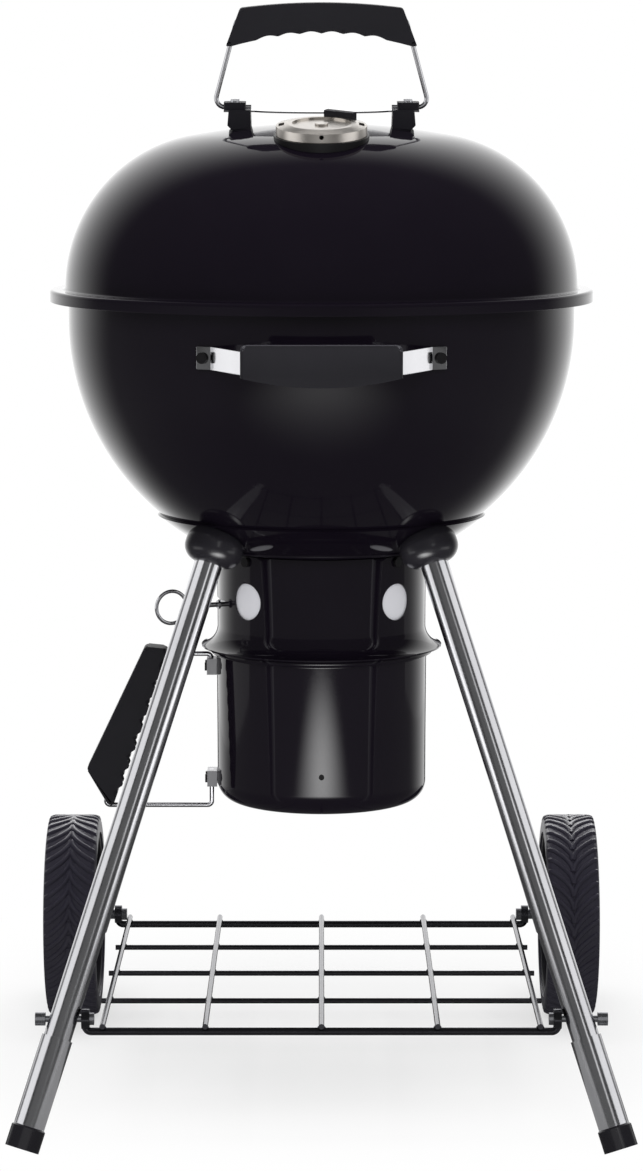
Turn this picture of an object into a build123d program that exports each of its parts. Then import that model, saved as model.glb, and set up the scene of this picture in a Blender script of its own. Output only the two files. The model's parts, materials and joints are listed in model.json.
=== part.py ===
from build123d import *

import math
import os

# Kettle charcoal grill: an enamelled bowl and lid over an air tower and an ash pot, on four
# splayed legs with a wire shelf and two wheels. Millimetres, +Z up, the front faces -Y, and left
# and right are as seen from the front. The pieces are made about the kettle's axis, then moved
# along Y so that the origin lies on the floor below the middle of the whole grill.

# Fits, and the decimals of a millimetre that worked-out places keep
SEAT_GAP = 0.2
MOVE_GAP = 0.3
PIN_GAP = 0.05
PLACE_DECIMALS = 3

# Bowl
RIM_HEIGHT = 754.0
BOWL_RADIUS = 236.0
BOWL_WALL = 1.5
BOWL_STRAIGHT = 26.5
BOWL_LIP = 11.0
BOWL_LIP_THICKNESS = 3.0
NECK_LENGTH = 10.0

# Support ring under the bowl
RING_INNER_RADIUS = 112.0
RING_OUTER_RADIUS = 152.0
RING_THICKNESS = 2.5
RING_BEAD_RADIUS = 2.2

# Lid
LID_OVERHANG = 2.7
LID_WALL = 1.5
LID_FLANGE_OVERHANG = 6.0
LID_FLANGE_HEIGHT = 11.0
LID_SHOULDER_RADIUS = 145.0
LID_SHOULDER_SWEEP = 79.5

# Lid handle
LID_HANDLE_OFFSET = 30.0
BLOCK_SPACING = 159.0
BLOCK_WIDTH = 30.0
BLOCK_DEPTH = 50.0
BLOCK_HEIGHT = 11.0
BLOCK_CORNER = 7.0
SHIELD_LENGTH = 132.0
SHIELD_DEPTH = 80.0
SHIELD_TAB_DEPTH = 30.0
SHIELD_THICKNESS = 1.5
HANDLE_WIRE_RADIUS = 2.25
HANDLE_BEND = 8.0
LID_WIRE_CORNER = 99.0
LID_WIRE_SHOULDER = 77.0
LID_WIRE_HEIGHT = 96.0
CLAMP_WIDTH = 20.0
CLAMP_DEPTH = 30.0
CLAMP_HEIGHT = 7.0
CLAMP_SCREW_SPACING = 19.0
SCREW_RADIUS = 2.0
SCREW_HEAD_RADIUS = 4.0
SCREW_HEAD_HEIGHT = 2.0
BLOCK_SCREW_RADIUS = 2.5
BLOCK_SCREW_HEAD_RADIUS = 5.5

# Moulded grip, shared by the lid handle and the pot handle
LID_GRIP_LENGTH = 176.0
POT_GRIP_LENGTH = 146.0
GRIP_THICKNESS = 24.0
GRIP_CROWN = 14.0
GRIP_SHOULDER = 9.0
GRIP_SHOULDER_INSET = 20.0
GRIP_SIDE_INSET = 9.0
GRIP_DROP = 26.0
GRIP_TIP = 7.0
GRIP_WAIST = 12.0
GRIP_SCALLOP_DEPTH = 2.5
GRIP_SCALLOPS = 8
GRIP_EDGE = 3.0

# Lid vent
VENT_OFFSET = 120.0
VENT_THROAT_RADIUS = 25.0
VENT_BASE_RADIUS = 43.0
VENT_BASE_HEIGHT = 1.5
VENT_CAP_RADIUS = 41.0
VENT_CAP_HEIGHT = 10.4
VENT_CAP_WALL = 1.5
VENT_SHOULDER_RADIUS = 31.0
VENT_SHOULDER_DROP = 2.4
VENT_DISH_RADIUS = 26.5
VENT_DISH_DEPTH = 1.8
VENT_HUB_RADIUS = 6.0
VENT_HOLE_RADIUS = 5.5
VENT_HOLE_CIRCLE = 17.0
VENT_HOLES = 6
VENT_SLOT_LENGTH = 12.0
VENT_SLOT_WIDTH = 5.0
VENT_SIDE_HOLE_RADIUS = 2.0
VENT_SIDE_HOLES = 4
VENT_RIVET_RADIUS = 3.0
VENT_RIVET_HEAD = 1.5
VENT_TAB_LENGTH = 30.0
VENT_TAB_WIDTH = 7.0
VENT_TAB_HEIGHT = 5.0
VENT_TAB_ANGLE = 60.0

# Air tower
TOWER_RADIUS = 98.0
TOWER_WALL = 1.5
TOWER_HEIGHT = 92.0
TOWER_LIP = 15.0
TOWER_FLARE_RADIUS = 19.0
LEDGE_WIDTH = 3.0
LEDGE_THICKNESS = 2.0
AIR_HOLES = 4
AIR_HOLE_RADIUS = 17.0
AIR_HOLE_DROP = 42.0
TOWER_SCREW_RADIUS = 2.5
TOWER_SCREW_HEAD_RADIUS = 4.5
TOWER_SCREW_HEAD_HEIGHT = 2.5

# Air sleeve and its lever
SLEEVE_WALL = 1.2
LEVER_DROP = 48.0
LEVER_REST_ANGLE = 24.0
LEVER_SWING = 45.0
LEVER_RADIUS = 2.25
LEVER_HEAD_RADIUS = 4.0
LEVER_HEAD_HEIGHT = 2.0
LEVER_COLLAR_OFFSET = 6.0
LEVER_REACH = 54.0
LEVER_RING_RADIUS = 15.0
LEVER_RING_WIRE = 1.75

# Ash pot
POT_OVERHANG = 1.0
POT_WALL = 1.2
POT_DEPTH = 147.0
POT_CORNER = 20.0
POT_BEAD_WIDTH = 5.5
POT_BEAD_HEIGHT = 6.0
POT_RIVET_RADIUS = 2.5
POT_RIVET_HEIGHT = 38.0
CLIPS = 3
CLIP_SECTOR = 14.0
CLIP_THICKNESS = 1.5
CLIP_REACH = 25.0

# Ash pot handle
POT_WIRE_STANDOFF = 5.0
POT_WIRE_LOW_DROP = 153.5
POT_WIRE_TOP_REACH = 53.0
POT_WIRE_LOW_REACH = 107.0
BRACKET_WIDTH = 22.0
BRACKET_HEIGHT = 15.0
BRACKET_DEPTH = 9.0
BRACKET_TOP_DROP = 12.0
BRACKET_LOW_DROP = 119.0
BRACKET_RIVET_RADIUS = 2.0
BRACKET_RIVET_SPACING = 15.0

# Front handle
FRONT_GRIP_LENGTH = 140.0
FRONT_GRIP_TOP = 31.2
FRONT_GRIP_HEIGHT = 28.0
FRONT_GRIP_BELLY = 8.5
FRONT_GRIP_THICKNESS = 12.0
FRONT_GRIP_CORNER = 5.0
FRONT_GRIP_EDGE = 2.5
FRONT_HANDLE_STANDOFF = 47.0
STRAP_HEIGHT = 20.0
STRAP_THICKNESS = 3.0
STRAP_INSET = 6.5
STRAP_SPREAD = 144.0
STRAP_FOOT_ANGLE = 26.0
STRAP_FOOT_LENGTH = 20.0
STRAP_RIVET_RADIUS = 2.5
STRAP_RIVET_HEAD_RADIUS = 5.0
STRAP_RIVET_HEAD_HEIGHT = 2.0
STRAP_SCREW_SPACING = 90.0

# Grates and their tabs
COOKING_GRATE_GAP = 6.5
COOKING_GRATE_DROP = 23.0
COOKING_ROD_PITCH = 16.0
CHARCOAL_GRATE_RADIUS = 163.0
CHARCOAL_GRATE_GAP = 13.409
CHARCOAL_ROD_PITCH = 22.0
GRATE_RING_WIDTH = 6.0
GRATE_RING_HEIGHT = 5.0
GRATE_ROD_RADIUS = 2.0
GRATE_BAR_SHARE = 0.5
TABS = 4
TAB_LENGTH = 16.0
TAB_WIDTH = 20.0
TAB_THICKNESS = 3.0

# Legs
SOCKET_X = 99.0
SOCKET_Y = 105.0
SOCKET_STANDOFF = 12.21
SOCKET_RADIUS = 26.0
SOCKET_BELOW = 21.0
SOCKET_ABOVE = 20.0
SOCKET_TOP_ROUND = 8.0
SOCKET_LOW_ROUND = 11.0
SOCKET_BOLT_RADIUS = 3.0
SOCKET_BOLT_HEAD_RADIUS = 6.0
SOCKET_BOLT_HEAD_HEIGHT = 4.0
SOCKET_BOLT_REACH = 16.0
LEG_RADIUS = 12.5
LEG_WALL = 1.5
LEG_INSERT = 5.0
FOOT_X = 267.0
FOOT_Y = 262.0
FOOT_END_HEIGHT = 4.3
FOOT_CAP_WALL = 3.0
FOOT_CAP_HEIGHT = 21.0
FOOT_CAP_FLOOR = 6.0
LEG_SLEEVE_WALL = 1.5
LEG_SLEEVE_LENGTH = 82.0
PLUG_HEIGHT = 10.0
PLUG_RIM = 2.0

# Wheels and axles
WHEEL_RADIUS = 102.0
WHEEL_WIDTH = 52.0
WHEEL_TRACK = 504.0
TYRE_DEPTH = 18.0
TYRE_SHOULDER = 7.0
RIM_DEPTH = 5.0
RIM_INSET = 2.0
WEB_THICKNESS = 6.0
WEB_OFFSET = 8.0
HUB_RADIUS = 16.0
HUB_LENGTH = 20.0
AXLE_Y = 263.0
AXLE_RADIUS = 5.0
AXLE_LEG_GAP = 23.0
AXLE_LEG_TAIL = 15.0
AXLE_HEAD_RADIUS = 6.0
AXLE_HEAD_HEIGHT = 5.0
AXLE_NUT_RADIUS = 8.0
AXLE_NUT_HEIGHT = 7.0

# Shelf
SHELF_RAIL_RADIUS = 3.5
SHELF_WIRE_RADIUS = 2.5
SHELF_FRONT_DROP = 11.5
SHELF_REAR_DROP = 10.5
SHELF_BOLT_HEIGHT = 115.0
SHELF_BOLT_RADIUS = 3.0
SHELF_BOLT_HEAD_RADIUS = 5.5
SHELF_BOLT_HEAD_HEIGHT = 4.0
SHELF_NUT_RADIUS = 6.0
SHELF_NUT_HEIGHT = 9.0
SHELF_EYE_RADIUS = 9.0
SHELF_BEND = 5.0
SHELF_INNER_WIRE_X = 104.0
SHELF_SIDE_MARGIN = 15.059
SHELF_OVERHANG = 8.0
SHELF_CROSS_WIRES = 3

# Values worked out from the sizes above
SIDES = {"left": -1, "right": 1}
bowl_centre_z = RIM_HEIGHT - BOWL_STRAIGHT
bowl_inner_radius = BOWL_RADIUS - BOWL_WALL
tower_inner_radius = TOWER_RADIUS - TOWER_WALL
neck_radius = tower_inner_radius - SEAT_GAP
neck_inner_radius = neck_radius - BOWL_WALL
tower_top = bowl_centre_z - math.sqrt(BOWL_RADIUS**2 - tower_inner_radius**2) - SEAT_GAP
tower_bottom = tower_top - TOWER_HEIGHT
neck_bottom = tower_top - NECK_LENGTH
flare_angle = math.degrees(math.acos(1 - TOWER_LIP / TOWER_FLARE_RADIUS))
flare_z = tower_bottom + (TOWER_FLARE_RADIUS + TOWER_WALL) * math.sin(math.radians(flare_angle))
ledge_bottom = flare_z + SEAT_GAP
ledge_top = ledge_bottom + LEDGE_THICKNESS
air_hole_z = tower_top - AIR_HOLE_DROP
sleeve_radius = tower_inner_radius - MOVE_GAP
sleeve_bottom = ledge_top + MOVE_GAP
sleeve_top = neck_bottom - 2 * LEDGE_THICKNESS
lever_z = tower_top - LEVER_DROP
lever_azimuth = 180 + LEVER_REST_ANGLE
pot_top = tower_bottom - MOVE_GAP
pot_bottom = pot_top - POT_DEPTH
pot_radius = TOWER_RADIUS + POT_OVERHANG
pot_inner_radius = pot_radius - POT_WALL
pot_bead_radius = pot_radius + POT_BEAD_WIDTH
lever_ring_reach = TOWER_RADIUS + LEVER_REACH
lid_radius = BOWL_RADIUS + LID_OVERHANG
lid_flange_radius = BOWL_RADIUS + BOWL_LIP + LID_FLANGE_OVERHANG
lid_flange_top = RIM_HEIGHT + MOVE_GAP + LID_WALL
crown_angle = math.radians(LID_SHOULDER_SWEEP)
crown_radius = LID_SHOULDER_RADIUS + (lid_radius - LID_SHOULDER_RADIUS) / math.cos(crown_angle)
crown_centre_z = lid_flange_top - (crown_radius - LID_SHOULDER_RADIUS) * math.sin(crown_angle)
axle_z = WHEEL_RADIUS
wheel_mid_x = WHEEL_TRACK / 2
tyre_inner_radius = WHEEL_RADIUS - TYRE_DEPTH
hub_inner_x = wheel_mid_x + WEB_OFFSET - HUB_LENGTH / 2
axle_leg_x = hub_inner_x - AXLE_LEG_GAP
shelf_front_z = SHELF_BOLT_HEIGHT - SHELF_FRONT_DROP
shelf_rear_z = axle_z - SHELF_REAR_DROP
foot_cap_radius = LEG_RADIUS + FOOT_CAP_WALL
seat_radius = BOWL_RADIUS + 2 * SEAT_GAP + RING_THICKNESS
socket_drop = math.sqrt((seat_radius + SOCKET_STANDOFF) ** 2 - SOCKET_X**2 - SOCKET_Y**2)
socket_z = round(bowl_centre_z - socket_drop, PLACE_DECIMALS)
strap_top = FRONT_GRIP_TOP + STRAP_INSET
cooking_grate_z = RIM_HEIGHT - COOKING_GRATE_DROP
cooking_grate_radius = bowl_inner_radius - COOKING_GRATE_GAP
charcoal_wall_radius = CHARCOAL_GRATE_RADIUS + CHARCOAL_GRATE_GAP
charcoal_depth = math.sqrt(bowl_inner_radius**2 - charcoal_wall_radius**2)
charcoal_grate_z = round(bowl_centre_z - charcoal_depth, PLACE_DECIMALS)
bowl_centre = Vector(0, 0, bowl_centre_z)
front_handle_y = -(BOWL_RADIUS + FRONT_HANDLE_STANDOFF)
front_reach = FRONT_GRIP_THICKNESS + SEAT_GAP + STRAP_THICKNESS / 2 - front_handle_y
rear_reach = AXLE_Y + WHEEL_RADIUS
frame_shift = (front_reach - rear_reach) / 2


def lathe(*curves):
    """Turn a closed outline of radius and height about the kettle's axis."""
    return revolve(Plane.XZ * make_face(Curve() + list(curves)), Axis.Z)


def turned(points, angle=360.0):
    """Turn a polygon of radius and height points about the kettle's axis."""
    return revolve(Plane.XZ * make_face(Polyline(*points, close=True)), Axis.Z, angle)


def upright(radius, low, high):
    """Make a cylinder on the local Z axis between two heights."""
    return Pos(0, 0, (low + high) / 2) * Cylinder(radius, high - low)


def along_x(radius, start, end):
    """Make a cylinder along X between two places on that axis."""
    return Pos((start + end) / 2, 0, 0) * Rot(0, 90, 0) * Cylinder(radius, abs(end - start))


def rod(start, end, radius):
    """Make a round rod between two points."""
    span = Vector(*end) - Vector(*start)
    return Plane(origin=start, z_dir=span) * upright(radius, 0, span.length)


def bent_wire(points, bend, radius, plane=Plane.XZ):
    """Sweep a round wire along a flat route with rounded corners."""
    path = plane * FilletPolyline(*points, radius=bend)
    return sweep(Plane(origin=path @ 0, z_dir=path % 0) * Circle(radius), path=path)


def around(count, piece, start=0.0):
    """Copy a piece evenly about the local Z axis."""
    return [Rot(0, 0, start + index * 360 / count) * piece for index in range(count)]


def lid_outline(offset):
    """Outer curves of the dome from its flange to the top, moved out by an offset."""
    low = Vector(lid_radius + offset, lid_flange_top)
    shoulder = CenterArc(
        (lid_radius - LID_SHOULDER_RADIUS, lid_flange_top),
        LID_SHOULDER_RADIUS + offset,
        0,
        LID_SHOULDER_SWEEP,
    )
    crown = CenterArc(
        (0, crown_centre_z), crown_radius + offset, LID_SHOULDER_SWEEP, 90 - LID_SHOULDER_SWEEP
    )
    return low, shoulder, crown


def dome(offset):
    """Solid dome under the lid's outer face, moved out by an offset."""
    low, shoulder, crown = lid_outline(offset)
    base = Polyline(crown @ 1, (0, lid_flange_top), low)
    return lathe(base, shoulder, crown)


def crown_frame(offset_y):
    """Frame on the lid's crown in front of its middle, with Z along the surface's normal."""
    tilt = math.degrees(math.asin(offset_y / crown_radius))
    return Pos(0, 0, crown_centre_z) * Rot(tilt, 0, 0) * Pos(0, 0, crown_radius)


handle_frame = crown_frame(LID_HANDLE_OFFSET)
vent_frame = crown_frame(VENT_OFFSET)
shield_low = BLOCK_HEIGHT
shield_top = shield_low + SHIELD_THICKNESS
wire_foot_z = shield_top + HANDLE_WIRE_RADIUS + PIN_GAP
clamp_top = shield_top + PIN_GAP + CLAMP_HEIGHT
block_x = BLOCK_SPACING / 2
vent_cap_low = VENT_BASE_HEIGHT + MOVE_GAP
vent_cap_top = vent_cap_low + VENT_CAP_HEIGHT
vent_dish_floor = vent_cap_top - VENT_DISH_DEPTH


def leg_ends(side, row):
    """Top and bottom points of a leg's centre line."""
    if row == "front":
        low = Vector(side * FOOT_X, -FOOT_Y, FOOT_END_HEIGHT)
        return Vector(side * SOCKET_X, -SOCKET_Y, socket_z), low
    return Vector(side * SOCKET_X, SOCKET_Y, socket_z), Vector(side * axle_leg_x, AXLE_Y, axle_z)


def leg_frame(side, row):
    """Frame at a leg's lower point with Z up along the leg."""
    top, low = leg_ends(side, row)
    return Plane(origin=low, z_dir=top - low)


def leg_length(side, row):
    """Distance from a leg's lower point to its socket's middle."""
    top, low = leg_ends(side, row)
    return (top - low).length


def leg_point(side, row, height):
    """Point of a leg's centre line at a height above the floor."""
    top, low = leg_ends(side, row)
    return low + (top - low) * ((height - low.Z) / (top.Z - low.Z))


def eye_face_x(row, height):
    """How far out a shelf eye may reach before it meets the inner side of a leg."""
    top, low = leg_ends(1, row)
    lean = (top - low).normalized()
    side_radius = LEG_RADIUS / math.sqrt(1 - lean.X**2)
    drift = SHELF_EYE_RADIUS * abs(lean.X / lean.Z)
    return leg_point(1, row, height).X - side_radius - drift - SEAT_GAP


bolt_point = leg_point(1, "front", SHELF_BOLT_HEIGHT)
front_eye_x = eye_face_x("front", SHELF_BOLT_HEIGHT)
rear_eye_x = eye_face_x("rear", axle_z)
shelf_outer_wire_x = round(min(front_eye_x, rear_eye_x) - SHELF_SIDE_MARGIN, PLACE_DECIMALS)
corners = [(side, row) for row in ("front", "rear") for side in SIDES.values()]
long_wire_x = [
    -shelf_outer_wire_x, -SHELF_INNER_WIRE_X, 0, SHELF_INNER_WIRE_X, shelf_outer_wire_x
]


def bolt_line(side, row, start, end, radius):
    """Rod on the line from the bowl's centre through a leg socket."""
    outward = (leg_ends(side, row)[0] - bowl_centre).normalized()
    return rod(bowl_centre + outward * start, bowl_centre + outward * end, radius)


def socket_bolt_holes():
    """Holes for the four socket bolts through bowl, ring and sockets."""
    reach = seat_radius + SOCKET_BOLT_REACH
    radius = SOCKET_BOLT_RADIUS + PIN_GAP
    return [bolt_line(side, row, bowl_inner_radius / 2, reach, radius) for side, row in corners]


def tower_screw(radius, start, end):
    """Radial rod through the tower and the bowl's neck."""
    return Pos(0, 0, tower_top - NECK_LENGTH / 2) * along_x(radius, start, end)


def strap_rivet(side, start, end, radius):
    """Radial rod through the bowl and a foot of the front handle's strap."""
    middle = RIM_HEIGHT - strap_top - STRAP_HEIGHT / 2
    turn = -90 + side * STRAP_FOOT_ANGLE
    return Rot(0, 0, turn) * Pos(0, 0, middle) * along_x(radius, start, end)


def bowl_shell():
    """Drawn bowl with its rim lip and the neck that carries the tower."""
    outer_start = -math.degrees(math.acos(neck_radius / BOWL_RADIUS))
    inner_start = -math.degrees(math.acos(neck_inner_radius / bowl_inner_radius))
    centre = (0, bowl_centre_z)
    outer = CenterArc(centre, BOWL_RADIUS, outer_start, -outer_start)
    inner = CenterArc(centre, bowl_inner_radius, inner_start, -inner_start)
    lip_radius = BOWL_RADIUS + BOWL_LIP
    lip_low = RIM_HEIGHT - BOWL_LIP_THICKNESS
    rim = Polyline(
        outer @ 1, (BOWL_RADIUS, lip_low), (lip_radius, lip_low), (lip_radius, RIM_HEIGHT),
        (bowl_inner_radius, RIM_HEIGHT), inner @ 1,
    )
    neck = Polyline(
        inner @ 0, (neck_inner_radius, neck_bottom), (neck_radius, neck_bottom), outer @ 0
    )
    shell = lathe(outer, rim, inner, neck) - socket_bolt_holes()
    hole = TOWER_SCREW_RADIUS + PIN_GAP
    shell -= around(AIR_HOLES, tower_screw(hole, 0, TOWER_RADIUS), 45)
    rivet_hole = STRAP_RIVET_RADIUS + PIN_GAP
    return shell - [strap_rivet(s, 0, 2 * BOWL_RADIUS, rivet_hole) for s in SIDES.values()]


def support_ring():
    """Pressed ring that hugs the bowl and spreads the load of the legs."""
    inner_face = BOWL_RADIUS + SEAT_GAP
    outer_face = inner_face + RING_THICKNESS
    low = -math.degrees(math.acos(RING_INNER_RADIUS / inner_face))
    high = -math.degrees(math.acos(RING_OUTER_RADIUS / inner_face))
    inner = CenterArc((0, bowl_centre_z), inner_face, low, high - low)
    outer = CenterArc((0, bowl_centre_z), outer_face, low, high - low)
    ring = lathe(inner, Line(inner @ 1, outer @ 1), outer, Line(outer @ 0, inner @ 0))
    bead_path = inner_face + RING_BEAD_RADIUS
    bead_angle = math.radians(low)
    bead_r = bead_path * math.cos(bead_angle)
    bead_z = bowl_centre_z + bead_path * math.sin(bead_angle)
    ring += Pos(0, 0, bead_z) * Torus(bead_r, RING_BEAD_RADIUS)
    return ring - socket_bolt_holes()


def tower_shell():
    """Air tower with its holes, lever slot and flared lip."""
    centre = (TOWER_RADIUS + TOWER_FLARE_RADIUS, flare_z)
    outer = CenterArc(centre, TOWER_FLARE_RADIUS, 180, flare_angle)
    inner = CenterArc(centre, TOWER_FLARE_RADIUS + TOWER_WALL, 180, flare_angle)
    wall = Polyline(inner @ 0, (tower_inner_radius, tower_top), (TOWER_RADIUS, tower_top), outer @ 0)
    shell = lathe(wall, outer, Line(outer @ 1, inner @ 1), inner)
    hole = Pos(0, 0, air_hole_z) * along_x(AIR_HOLE_RADIUS, tower_inner_radius / 2, 2 * TOWER_RADIUS)
    shell -= around(AIR_HOLES, hole, 45)
    screw_hole = tower_screw(TOWER_SCREW_RADIUS + PIN_GAP, 0, 2 * TOWER_RADIUS)
    shell -= around(AIR_HOLES, screw_hole, 45)
    slot_half = LEVER_RADIUS + MOVE_GAP
    slot_inner = tower_inner_radius - SLEEVE_WALL
    slot = turned(
        [
            (slot_inner, lever_z - slot_half), (2 * TOWER_RADIUS, lever_z - slot_half),
            (2 * TOWER_RADIUS, lever_z + slot_half), (slot_inner, lever_z + slot_half),
        ],
        LEVER_SWING,
    )
    lever_hole = Pos(0, 0, lever_z) * along_x(slot_half, slot_inner, 2 * TOWER_RADIUS)
    shell -= Rot(0, 0, lever_azimuth - LEVER_SWING) * slot
    shell -= Rot(0, 0, lever_azimuth) * lever_hole
    return shell - Rot(0, 0, lever_azimuth - LEVER_SWING) * lever_hole


def sleeve_ledge():
    """Ring fixed inside the tower that the air sleeve turns on."""
    ring = upright(tower_inner_radius - SEAT_GAP, ledge_bottom, ledge_top)
    return ring - upright(tower_inner_radius - LEDGE_WIDTH, ledge_bottom, ledge_top)


def tower_screws():
    """Screws that hold the tower on the bowl's neck, between the air holes' lines."""
    head = TOWER_RADIUS + SEAT_GAP
    shank = tower_screw(TOWER_SCREW_RADIUS, neck_inner_radius - BOWL_WALL, head)
    cap = tower_screw(TOWER_SCREW_HEAD_RADIUS, head, head + TOWER_SCREW_HEAD_HEIGHT)
    return Compound(children=around(AIR_HOLES, shank + cap, 45))


def air_sleeve():
    """Inner sleeve whose holes meet the tower's holes when the lever is swung."""
    sleeve = upright(sleeve_radius, sleeve_bottom, sleeve_top)
    sleeve -= upright(sleeve_radius - SLEEVE_WALL, sleeve_bottom, sleeve_top)
    hole = Pos(0, 0, air_hole_z) * along_x(AIR_HOLE_RADIUS, sleeve_radius / 2, 2 * sleeve_radius)
    sleeve -= around(AIR_HOLES, hole, 45 + LEVER_SWING)
    lever = Pos(0, 0, lever_z) * along_x(LEVER_RADIUS + PIN_GAP, sleeve_radius / 2, 2 * sleeve_radius)
    return sleeve - Rot(0, 0, lever_azimuth) * lever


def air_lever():
    """Rod from the sleeve out to the pull ring, with a head inside and a collar outside."""
    head = sleeve_radius - SLEEVE_WALL - SEAT_GAP
    end = lever_ring_reach - LEVER_RING_RADIUS - LEVER_RING_WIRE
    collar = TOWER_RADIUS + LEVER_COLLAR_OFFSET
    lever = along_x(LEVER_RADIUS, head, end)
    lever += along_x(LEVER_HEAD_RADIUS, head - LEVER_HEAD_HEIGHT, head)
    lever += along_x(LEVER_HEAD_RADIUS, collar, collar + LEVER_HEAD_HEIGHT)
    return Rot(0, 0, lever_azimuth) * Pos(0, 0, lever_z) * lever


def lever_ring():
    """Pull ring at the end of the lever, standing on edge."""
    ring = Rot(90, 0, 0) * Torus(LEVER_RING_RADIUS, LEVER_RING_WIRE)
    return Rot(0, 0, lever_azimuth) * Pos(lever_ring_reach, 0, lever_z) * ring


def grip(length):
    """Moulded grip about a wire on the local X axis, arched below with finger scallops."""
    half = length / 2
    arch_half = half - GRIP_TIP
    pitch = 2 * arch_half / GRIP_SCALLOPS
    cusps = []
    for index in range(GRIP_SCALLOPS + 1):
        x = -arch_half + pitch * index
        cusps.append((x, -GRIP_WAIST - (GRIP_DROP - GRIP_WAIST) * (x / arch_half) ** 2))
    scallops = []
    for left, right in zip(cusps, cusps[1:]):
        middle = ((left[0] + right[0]) / 2, (left[1] + right[1]) / 2 + GRIP_SCALLOP_DEPTH)
        scallops.append(ThreePointArc(left, middle, right))
    shoulder = half - GRIP_SHOULDER_INSET
    crown = ThreePointArc((-shoulder, GRIP_SHOULDER), (0, GRIP_CROWN), (shoulder, GRIP_SHOULDER))
    sides = [
        Polyline(
            (sign * shoulder, GRIP_SHOULDER), (sign * (half - GRIP_SIDE_INSET), 0),
            (sign * half, -GRIP_DROP), (sign * arch_half, -GRIP_DROP),
        )
        for sign in SIDES.values()
    ]
    outline = make_face(Curve() + [crown] + sides + scallops)
    body = Pos(0, 0, -GRIP_THICKNESS / 2) * extrude(outline, GRIP_THICKNESS)
    body = chamfer(body.faces().filter_by(Axis.Z).edges(), GRIP_EDGE)
    return Rot(90, 0, 0) * body


def lid_wire_points():
    """Corners of the lid handle's wire in its own plane."""
    inner = block_x - BLOCK_WIDTH / 2
    right = [
        (LID_WIRE_SHOULDER, LID_WIRE_HEIGHT), (LID_WIRE_CORNER, wire_foot_z), (inner, wire_foot_z)
    ]
    left = [(-x, z) for x, z in reversed(right)]
    return left + right


def lid_handle_wire():
    """Bent wire of the lid handle, clamped at its two feet."""
    return handle_frame * bent_wire(lid_wire_points(), HANDLE_BEND, HANDLE_WIRE_RADIUS)


def lid_handle_grip():
    """Moulded grip of the lid handle with a tunnel for the wire."""
    tunnel = bent_wire(lid_wire_points(), HANDLE_BEND, HANDLE_WIRE_RADIUS + PIN_GAP)
    return handle_frame * (Pos(0, 0, LID_WIRE_HEIGHT) * grip(LID_GRIP_LENGTH) - tunnel)


def clamp_screw_places():
    """Places of the four clamp screws in the handle's frame."""
    half = CLAMP_SCREW_SPACING / 2
    return [Pos(side * block_x, end * half, 0) for side in SIDES.values() for end in (-1, 1)]


def handle_block(side):
    """Moulded block that carries one foot of the lid handle."""
    depth = 2 * BLOCK_DEPTH
    block = Pos(side * block_x, 0, BLOCK_HEIGHT - depth) * extrude(
        RectangleRounded(BLOCK_WIDTH, BLOCK_DEPTH, BLOCK_CORNER), depth
    )
    block -= Pos(0, 0, -crown_radius) * Sphere(crown_radius + SEAT_GAP)
    holes = [p * upright(SCREW_RADIUS + PIN_GAP, -depth, depth) for p in clamp_screw_places()]
    anchor = Pos(side * block_x, 0, 0) * upright(BLOCK_SCREW_RADIUS + PIN_GAP, -depth, 0)
    return handle_frame * (block - holes - anchor)


def block_screws():
    """Screws from inside the lid into the two blocks."""
    seat = crown_radius - LID_WALL - SEAT_GAP
    sag = math.sqrt(seat**2 - block_x**2) - crown_radius
    low = sag - math.tan(math.asin(block_x / seat)) * BLOCK_SCREW_HEAD_RADIUS
    screw = upright(BLOCK_SCREW_RADIUS, low, 0)
    screw += upright(BLOCK_SCREW_HEAD_RADIUS, low - SCREW_HEAD_HEIGHT, low)
    return Compound(children=[handle_frame * Pos(s * block_x, 0, 0) * screw for s in SIDES.values()])


def heat_shield():
    """Oval steel plate between the two blocks, under the handle."""
    tab_end = block_x + CLAMP_WIDTH / 2
    plate = Ellipse(SHIELD_LENGTH / 2, SHIELD_DEPTH / 2) + Rectangle(2 * tab_end, SHIELD_TAB_DEPTH)
    shield = Pos(0, 0, shield_low) * extrude(plate, SHIELD_THICKNESS)
    holes = [p * upright(SCREW_RADIUS + PIN_GAP, 0, clamp_top) for p in clamp_screw_places()]
    return handle_frame * (shield - holes)


def handle_clamps():
    """Moulded caps that clamp the wire's feet on the blocks."""
    tunnel = bent_wire(lid_wire_points(), HANDLE_BEND, HANDLE_WIRE_RADIUS + PIN_GAP)
    low = shield_top + PIN_GAP
    holes = [p * upright(SCREW_RADIUS + PIN_GAP, 0, 2 * clamp_top) for p in clamp_screw_places()]
    cap = extrude(RectangleRounded(CLAMP_WIDTH, CLAMP_DEPTH, SCREW_HEAD_RADIUS), clamp_top - low)
    caps = [Pos(side * block_x, 0, low) * cap - tunnel - holes for side in SIDES.values()]
    return Compound(children=[handle_frame * cap for cap in caps])


def clamp_screws():
    """Screws that hold the clamp caps, the shield and the blocks together."""
    screw = upright(SCREW_RADIUS, 0, clamp_top)
    screw += upright(SCREW_HEAD_RADIUS, clamp_top, clamp_top + SCREW_HEAD_HEIGHT)
    return Compound(children=[handle_frame * place * screw for place in clamp_screw_places()])


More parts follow.
